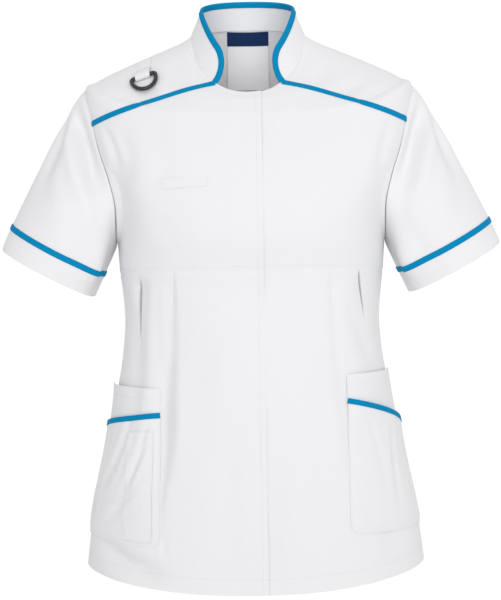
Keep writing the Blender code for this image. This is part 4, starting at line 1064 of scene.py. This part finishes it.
def folded_tape_section(width, layer):
    """A tape folded over an edge, from in front to behind: off the edge, and out of the cloth."""
    proud = TAPE_THICK + 0.45
    around = layer / 2 + proud
    front = [(-width, 0.25), (-width + 0.5, proud - 0.15), (-width + 1.4, proud), (-width / 2, proud)]
    fold = []
    for turn in np.radians(np.linspace(90, -90, 9)):
        fold.append((around * math.cos(turn) - 0.6, around * math.sin(turn) - layer / 2))
    return front + fold + [(off, -layer - out) for off, out in reversed(front)]


def binding(node, points, borders):
    """A blue tape folded over an edge, stitched beside the named borders."""
    cut_piece(node, points, BLUE_TAPE, TAPE_THICK)
    sew(f"{node}_blue_stitches", runs_beside(points, borders, BINDING_STITCH), BLUE_THREAD)


edge = collar_edge()
collar_rows = []
for share in even(COLLAR_ROWS):
    collar_rows.append(collar_point(edge[:, 0], edge[:, 1] * share, np.zeros(len(edge))))
cut_piece("collar", np.array(collar_rows), WHITE_TWILL, COLLAR_THICK)
edge = np.concatenate([[(edge[0, 0], BINDING_END_HEIGHT)], edge, [(edge[-1, 0], BINDING_END_HEIGHT)]])
way = unit(np.gradient(edge, axis=0))
binding_rows = []
for off, out in folded_tape_section(BINDING_WIDTH, COLLAR_THICK):
    s, h = edge[:, 0] - way[:, 1] * off, edge[:, 1] + way[:, 0] * off
    binding_rows.append(collar_point(s, h, np.full(len(s), out)))
binding("collar_binding", np.array(binding_rows), ("bottom", "top"))

# The hip pockets, caught in the side seams. A back layer is sewn to the skirt, and the front
# layer, whose slanting mouth is bound with the tape, lies on it and stands a little open.
POCKETS = {
    # x of the front edge, z of the top at the front and the side, z of the slant at the front and
    # the side, z of the bottom at the front and the side, how far its mouth and its outer top stand
    # open, the skirt's creases below it
    "right": (122.0, (-457, -453), (-488, -506), (-660, -650), 1.5, 5.0, RIGHT_SKIRT_CREASES),
    "left": (121.0, (-442, -438), (-473, -509), (-646, -646), 3.0, 1.0, LEFT_SKIRT_CREASES),
}
SEWN_BORDERS = ("left", "right", "bottom")
POCKET_SIDE_ANGLE = -0.03
POCKET_CORNER = 16.0
CORNER_ARC_STEPS = 16
CORNER_SHARE = 1 / 8
POCKET_STEPS = 44
POCKET_THICK = 0.6
POCKET_STITCH = 1.6
POCKET_HEM, PEN_POCKET_HEM = 14.0, 9.0
# How far each layer stands off the skirt at its sewn borders and between them, and its mouth off
# the layer behind it at the middle and at the ends
BACK_LAYER_OFF = (0.65, 1.2, 2.4, 1.0)
FRONT_LAYER_OFF = (1.4, 3.0)
MOUTH_END_GAPE = 1.2
POCKET_BINDING_WIDTH = 6.5
POCKET_CREASES = {
    # across and up shares of the layer, to the same, bow in mm, half width, deep
    "right": (
        (0.10, 0.95, 0.42, 0.30, 5, 5, 2.4),
        (0.30, 1.00, 0.66, 0.42, 6, 6, 2.8),
        (0.62, 0.90, 0.80, 0.10, -6, 6, 2.6),
        (0.08, 0.80, 0.30, 0.42, -4, 4, 1.8),
        (0.15, 0.55, 0.60, 0.12, 4, 5, 1.6),
        (0.84, 0.75, 0.90, 0.05, 3, 4, 2.0),
    ),
    "left": (
        (0.52, 0.92, 0.50, 0.12, 5, 6, 1.5),
        (0.20, 0.90, 0.34, 0.35, -4, 6, 1.0),
        (0.80, 0.85, 0.74, 0.15, 4, 5, 1.1),
    ),
}
PEN_POCKET_ACROSS = (0.06, 0.32)
PEN_POCKET_UP = (0.05, 0.87)
PEN_POCKET_LIFT = 1.5
ON_FRONT_ANGLE = FRONT + 0.6


def side_level(z):
    """The ring where the side seam has this height."""
    t = np.linspace(0, BUST_SEAM, 600)
    return float(np.interp(z, body_point(np.full(len(t), POCKET_SIDE_ANGLE), t)[:, Z], t))


def on_front(x, z):
    return place_on_body((x, z), (X, Z), ON_FRONT_ANGLE, 2.0)


def pocket_places(front_x, top, bottom):
    """From the front edge to the side seam, and from the bottom up, with one rounded corner.

    The heights of the top and the bottom are at the front and at the side.
    """
    cut, half = POCKET_CORNER, CORNER_ARC_STEPS // 2
    arc = []
    for turn in np.radians(np.linspace(0, 90, CORNER_ARC_STEPS + 1)):
        arc.append(on_front(front_x + cut * (1 - math.cos(turn)), bottom[0] + cut * (1 - math.sin(turn))))
    arc = np.array(arc)
    above, after = arc[0], arc[-1]
    top_front = on_front(front_x, top[0])
    side_low = (POCKET_SIDE_ANGLE, side_level(bottom[1]))
    side_high = (POCKET_SIDE_ANGLE, side_level(top[1]))
    middle = ((after[0] + side_low[0]) / 2, (after[1] + side_low[1]) / 2)
    shares = even(POCKET_STEPS)
    turned = shares[shares <= CORNER_SHARE] / CORNER_SHARE * half
    straight = (shares[shares > CORNER_SHARE] - CORNER_SHARE) / (1 - CORNER_SHARE)
    steps = np.arange(CORNER_ARC_STEPS + 1)
    round_low, round_up = columns_at(half + turned, steps, arc), columns_at(half - turned, steps, arc)
    low = np.concatenate([round_low, along_line([after, middle, side_low], straight)])
    low_z = bottom[0] + cut
    quarters = [low_z + (top[0] - low_z) * k / 4 for k in (1, 2, 3)]
    upright = [above] + [on_front(front_x, z) for z in quarters] + [top_front]
    front = np.concatenate([round_up, along_line(upright, straight)])
    high = along_line([top_front, side_high], shares)
    return patch(low, high, front, along_line([side_low, side_high], shares))


def pocket_cloth(places, pleats, table, off, side_gape=0.0, own_creases=()):
    """A pocket layer on the skirt: low at its sewn borders, higher between, and open at its top."""
    sewn_lift, free_lift, gape, end_gape = off
    skirt, normals = skirt_cloth(places, (), pleats)
    u = np.linspace(0, 1, skirt.shape[1])[None, :]
    v = np.linspace(0, 1, skirt.shape[0])[:, None]
    followed = creases(skirt[..., X], skirt[..., Z], table) * (0.75 - 0.5 * u * (1 - u))
    skirt = skirt - normals * followed[..., None]
    inside = rises(from_borders(skirt, SEWN_BORDERS), 0, 12)
    bow = np.sin(math.pi * u) ** 0.8
    opened = (end_gape + gape * bow) * v**4 + side_gape * u**3 * v**8
    lift = sewn_lift + (free_lift - sewn_lift) * inside + opened
    width = lengths_along(skirt, 1)[:, -1].mean()
    tall = lengths_along(skirt, 0)[-1].mean()
    rows = [(a * width, b * tall, c * width, d * tall, e, f, g) for a, b, c, d, e, f, g in own_creases]
    lift = lift - inside * creases(u * width + 0 * v, v * tall + 0 * u, rows)
    return skirt + normals * lift[..., None]


def pen_pocket_cloth(layer):
    """The part of the layer that the pen pocket covers, raised off it."""
    columns = np.linspace(*PEN_POCKET_ACROSS, 15) * POCKET_STEPS
    rows = np.linspace(*PEN_POCKET_UP, 45) * POCKET_STEPS
    steps = np.arange(POCKET_STEPS + 1)
    raised = layer + grid_normals(layer) * PEN_POCKET_LIFT
    part = np.array([columns_at(columns, steps, row) for row in raised])
    return np.array([columns_at(rows, steps, part[:, i]) for i in range(len(columns))]).transpose(1, 0, 2)


def tape_over_top(points, width, layer):
    """The rows of a tape folded over the top edge of a layer."""
    top, below = points[-1], points[-4]
    along = unit(np.gradient(top, axis=0))
    up = unit(top - below)
    up = unit(up - along * (up * along).sum(-1, keepdims=True))
    out = unit(np.cross(along, up))
    return np.array([top + up * off + out * proud for off, proud in folded_tape_section(width, layer)])


pocket_edge = ((SEWN_BORDERS, POCKET_STITCH),)
for side, (front_x, top, slant, bottom, mouth, side_gape, table) in POCKETS.items():
    put, pleats = SIDES[side], FRONT_PLEATS[side]
    places = pocket_places(front_x, top, bottom)
    back_layer = put(pocket_cloth(places, pleats, table, BACK_LAYER_OFF, side_gape))
    cut_piece(f"pocket_back_{side}", back_layer, WHITE_TWILL, POCKET_THICK, pocket_edge)
    places = pocket_places(front_x, slant, bottom)
    off = (*FRONT_LAYER_OFF, mouth, MOUTH_END_GAPE)
    front_points = pocket_cloth(places, pleats, table, off, own_creases=POCKET_CREASES[side])
    layer = put(front_points)
    cut_piece(f"pocket_front_{side}", layer, WHITE_TWILL, POCKET_THICK, pocket_edge)
    tape = put(tape_over_top(front_points, POCKET_BINDING_WIDTH, POCKET_THICK))
    binding(f"pocket_binding_{side}", tape, ("bottom",))
    runs = runs_beside(back_layer, SEWN_BORDERS, POCKET_STITCH, 0.04, 0.96)
    runs.append(run_beside(back_layer, "top", POCKET_HEM, 0.02, 0.98))
    runs += runs_beside(layer, SEWN_BORDERS, POCKET_STITCH, 0.04, 0.94)
    if side == "right":
        pen = put(pen_pocket_cloth(front_points))
        cut_piece("pen_pocket", pen, WHITE_TWILL, POCKET_THICK, pocket_edge)
        runs += runs_beside(pen, SEWN_BORDERS, POCKET_STITCH)
        runs.append(run_beside(pen, "top", PEN_POCKET_HEM))
    sew(f"pocket_{side}_stitches", runs, WHITE_THREAD)

# The chest welt, a strip 14 mm high on the right front over the slit of a small inner pocket. It
# is sewn along its lower edge and at both ends, and open at the top.
WELT_X = (54.0, 115.0)
WELT_LOW_Z = (-198.0, -201.0)
WELT_HEIGHT = 14.0
WELT_THICK = 0.7
WELT_STITCH = 1.5
welt_rows = []
for up in np.linspace(0, 1, 9):
    places = []
    for share in np.linspace(0, 1, 25):
        x = WELT_X[0] + (WELT_X[1] - WELT_X[0]) * share
        z = WELT_LOW_Z[0] + (WELT_LOW_Z[1] - WELT_LOW_Z[0]) * share + WELT_HEIGHT * up
        places.append(place_on_body((x, z), (X, Z), ON_FRONT_ANGLE, 8.0))
    form, normals = form_and_normals(np.array(places))
    proud = WELT_THICK + 0.1 + 0.4 * up - ripples(form)
    welt_rows.append(form + normals * proud[:, None])
welt = mirrored(np.array(welt_rows))
welt_edge, on_front_right = ((SEWN_BORDERS, WELT_STITCH),), ("front_bodice_right",)
cut_piece("chest_welt", welt, WHITE_TWILL, WELT_THICK, welt_edge)
sew("chest_welt_stitches", runs_beside(welt, SEWN_BORDERS, WELT_STITCH), WHITE_THREAD)

# The tab and ring on the right yoke, for a watch or keys. The tab is a strip of the twill folded
# round the bar of a black moulded ring shaped like a D, which swings on it.
RING_BAR_X, RING_BAR_Y = 139.0, -43.0
RING_HALF_WIDTH, RING_DROP, RING_WIRE, RING_CORNER = 16.7, 26.0, 2.8, 4.0
RING_FAR_FOOT = 20.0
TAB_WIDTH, TAB_THICK, TAB_CLEAR = 19.0, 0.5, 0.3
TAB_REACH, TAB_LOW_HEIGHT, TAB_UPPER_HEIGHT = 33, 0.6, 1.25
TAB_STITCH, TAB_STITCH_START = 2.0, 0.62
RING_BAR_HEIGHT = 4.4
RING_BAR_HALF = 13.0


def above_yoke(across, down, height):
    """A point so far across and down from the middle of the ring's bar, and above the yoke."""
    place = place_on_body((RING_BAR_X + across, RING_BAR_Y - down), (X, Y), -0.5, 15.0)
    return body_point(*place) + body_normal(*place) * height


def tab_section():
    """The tab from its lower end, under the bar, round it and back, as way down and height."""
    around = RING_WIRE + TAB_CLEAR + TAB_THICK
    under = [(down, TAB_LOW_HEIGHT) for down in np.linspace(-TAB_REACH, 0, 12)]
    loop = []
    for turn in np.radians(np.linspace(-60, 100, 13)):
        loop.append((around * math.cos(turn), RING_BAR_HEIGHT + around * math.sin(turn)))
    over = []
    for down in np.linspace(-3, -TAB_REACH, 16):
        fall = float(rises(-down, 2, 17))
        over.append((down, (RING_BAR_HEIGHT + around) * (1 - fall) + TAB_UPPER_HEIGHT * fall))
    return under + loop + over


tab_rows = []
for down, height in tab_section():
    tab_rows.append([above_yoke(share * TAB_WIDTH, down, height) for share in np.linspace(-0.5, 0.5, 9)])
tab = mirrored(np.array(tab_rows))
tab_edges, on_yoke = ((("left", "right"), TAB_STITCH),), ("shoulder_yoke_right",)
cut_piece("ring_tab", tab, WHITE_TWILL, TAB_THICK, tab_edges)
tab_runs = runs_beside(tab, ("left", "right"), TAB_STITCH, TAB_STITCH_START)
sew("ring_tab_stitches", tab_runs, WHITE_THREAD)

bar_ends = [above_yoke(across, 0.0, RING_BAR_HEIGHT - 0.1) for across in (-RING_BAR_HALF, RING_BAR_HALF)]
bar = unit(bar_ends[1] - bar_ends[0])
ring_centre = (bar_ends[0] + bar_ends[1]) / 2
far = above_yoke(0.0, RING_FAR_FOOT, RING_WIRE + 1.0) - ring_centre
far = unit(far - bar * (far @ bar))


def ring_path():
    """The ring's middle line, along the bar and down from it."""
    half, corner = RING_HALF_WIDTH, RING_CORNER
    path = [(share * (half - corner), 0.0) for share in np.linspace(-1, 1, 9)]
    for turn in np.radians(np.linspace(15, 90, 6)):
        path.append((half - corner + corner * math.sin(turn), corner - corner * math.cos(turn)))
    for turn in np.radians(np.linspace(5, 175, 41)):
        path.append((half * math.cos(turn), corner + (RING_DROP - corner) * math.sin(turn)))
    for turn in np.radians(np.linspace(90, 15, 6)):
        path.append((-half + corner - corner * math.sin(turn), corner - corner * math.cos(turn)))
    return path


curve = bpy.data.curves.new("d_ring_wire", "CURVE")
curve.dimensions = "3D"
curve.bevel_depth = RING_WIRE * MM
curve.bevel_resolution = 6
wire = curve.splines.new("POLY")
path = ring_path()
wire.points.add(len(path) - 1)
wire.use_cyclic_u = True
for point, (across, down) in zip(wire.points, path):
    place = ring_centre + bar * across + far * down
    point.co = (-place[X] * MM, place[Y] * MM, place[Z] * MM, 1)
ring = bpy.data.objects.new("d_ring_wire", curve)
bpy.context.scene.collection.objects.link(ring)
in_object_mode_alone(ring)
bpy.ops.object.convert(target="MESH")
ring = bpy.context.active_object
bpy.ops.object.shade_smooth()
BLACK_NYLON = plain_finish("black_nylon", (0.012, 0.012, 0.014), 0.32)
shader = BLACK_NYLON.node_tree.nodes["Principled BSDF"]
shader.inputs["Coat Weight"].default_value = 0.35
shader.inputs["Coat Roughness"].default_value = 0.2
ring.data.materials.clear()
ring.data.materials.append(BLACK_NYLON)
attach(ring, "ring")
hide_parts("d_ring")

# The neck label, two pieces of satin sewn inside the back below the collar: a navy strip, and a
# white one under it that carries only plain woven lines.
LABEL_WIDTH, LABEL_DROP, LABEL_TOP_Z, HEADER_DROP = 58.0, 76.0, 28.0, 18.0
LABEL_THICK = 0.5
LABEL_GAP = 0.9
LABEL_HANGS_OUT = 7.0
LABEL_STITCH = 1.5


def label_points(top, bottom, rows):
    grid = []
    for z in np.linspace(bottom, top, rows + 1):
        row = []
        for x in np.linspace(LABEL_WIDTH / 2, -LABEL_WIDTH / 2, 25):
            angle, t = place_on_body((x, z), (X, Z), 1.45, 16.5)
            form, normal = body_point(angle, t), body_normal(angle, t)
            hung = LABEL_HANGS_OUT * ((LABEL_TOP_Z - z) / LABEL_DROP) ** 1.5
            sunk = float(ripples(form[None])[0]) + CLOTH + LABEL_GAP + hung
            row.append(form - normal * sunk)
        grid.append(row)
    return np.array(grid)[:, ::-1]


def satin(name, slot, colour):
    look = cloth_look(name, colour, rough=0.42, sheen=0.0, weave=0.35, high=0.02, turn=0)
    return (look, slot, "satin")


WHITE_SATIN = satin("label_satin_weave", "label_satin", (0.95, 0.95, 0.96))
NAVY_SATIN = satin("navy_satin_weave", "navy_satin", (0.008, 0.028, 0.10))
label_top = LABEL_TOP_Z - HEADER_DROP
LABELS = (
    # node, finish, top, bottom, rows
    ("label_header", NAVY_SATIN, LABEL_TOP_Z, label_top + 0.3, 10),
    ("label", WHITE_SATIN, label_top, LABEL_TOP_Z - LABEL_DROP, 30),
)
all_round = ((("left", "right", "bottom", "top"), LABEL_STITCH),)
for node, finish, top, bottom, rows in LABELS:
    points = label_points(top, bottom, rows)
    cut_piece(node, points, finish, LABEL_THICK, all_round)

# The floor, the light and the camera, which stands 2.6 m in front at mid height.
bpy.ops.object.select_all(action="DESELECT")
bpy.ops.mesh.primitive_circle_add(vertices=96, radius=3.0, fill_type="NGON", location=(0, 0, -1.25))
floor = bpy.context.active_object
floor.name = "floor"
pale = bpy.data.materials.new("pale_floor")
pale.use_nodes = True
shader = pale.node_tree.nodes["Principled BSDF"]
shader.inputs["Base Color"].default_value = (0.9, 0.9, 0.9, 1)
shader.inputs["Roughness"].default_value = 0.9
floor.data.materials.append(pale)

# The room is white behind the tunic and dimmer in front of it, so a broad front light shapes it.
# The white part is whitest just where the camera looks.
world = bpy.data.worlds.new("white_room")
world.use_nodes = True
nodes, links = world.node_tree.nodes, world.node_tree.links
looking = nodes.new("ShaderNodeTexCoord")
parts = nodes.new("ShaderNodeSeparateXYZ")
links.new(looking.outputs["Generated"], parts.inputs["Vector"])


def soft_ramp(low, high, first, second):
    """The first strength where a direction's Y is under low, and the second where it is over high."""
    ramp = nodes.new("ShaderNodeMapRange")
    ramp.interpolation_type = "SMOOTHSTEP"
    for socket, value in zip(("From Min", "From Max", "To Min", "To Max"), (low, high, first, second)):
        ramp.inputs[socket].default_value = value
    links.new(parts.outputs["Y"], ramp.inputs["Value"])
    return ramp.outputs["Result"]


aside = nodes.new("ShaderNodeMath")
aside.operation = "MULTIPLY_ADD"
aside.inputs[1].default_value = 0.09
links.new(parts.outputs["X"], aside.inputs[0])
links.new(soft_ramp(0.2, 0.9, 0.72, 0.88), aside.inputs[2])
whole = nodes.new("ShaderNodeMath")
links.new(aside.outputs["Value"], whole.inputs[0])
links.new(soft_ramp(0.92, 0.972, 0.0, 0.15), whole.inputs[1])
links.new(whole.outputs["Value"], nodes["Background"].inputs["Strength"])
nodes["Background"].inputs["Color"].default_value = (1, 1, 1, 1)
bpy.context.scene.world = world


def light_from(name, kind, strength, place, source):
    """A light at a place, shining from the way that source points to."""
    lamp = bpy.data.lights.new(name, kind)
    lamp.energy = strength
    light = bpy.data.objects.new(name, lamp)
    light.location = place
    light.rotation_euler = Vector(source).to_track_quat("Z", "Y").to_euler()
    bpy.context.scene.collection.objects.link(light)
    return lamp


sun = light_from("soft_front", "SUN", 1.12, (0.15, -2.91, 0.24), (0.05, -0.97, 0.08))
sun.angle = math.radians(64)
# A narrow light through the front of the neck falls on the inside of the back and its label
spot = light_from("neck_light", "SPOT", 31.0, (0.0, -1.2, 0.62), (0.0, -1.25, 0.595))
spot.spot_size = math.radians(3.9)
spot.spot_blend = 0.6
spot.shadow_soft_size = 0.03

CAMERA_DISTANCE = 2.6
MM_PER_PIXEL = 1.35
FRAME_HEIGHT_PIXELS = 600
SENSOR_WIDTH = 36.0
lens_body = bpy.data.cameras.new("camera")
lens_body.sensor_width = SENSOR_WIDTH
lens_body.lens = SENSOR_WIDTH * CAMERA_DISTANCE / (MM_PER_PIXEL * MM) / FRAME_HEIGHT_PIXELS
camera = bpy.data.objects.new("camera", lens_body)
camera.location = (-0.0019, -CAMERA_DISTANCE, -0.3437)
camera.rotation_euler = (math.radians(90), math.radians(0.9), 0)
bpy.context.scene.collection.objects.link(camera)
bpy.context.scene.camera = camera
bpy.context.scene.view_settings.view_transform = "Standard"
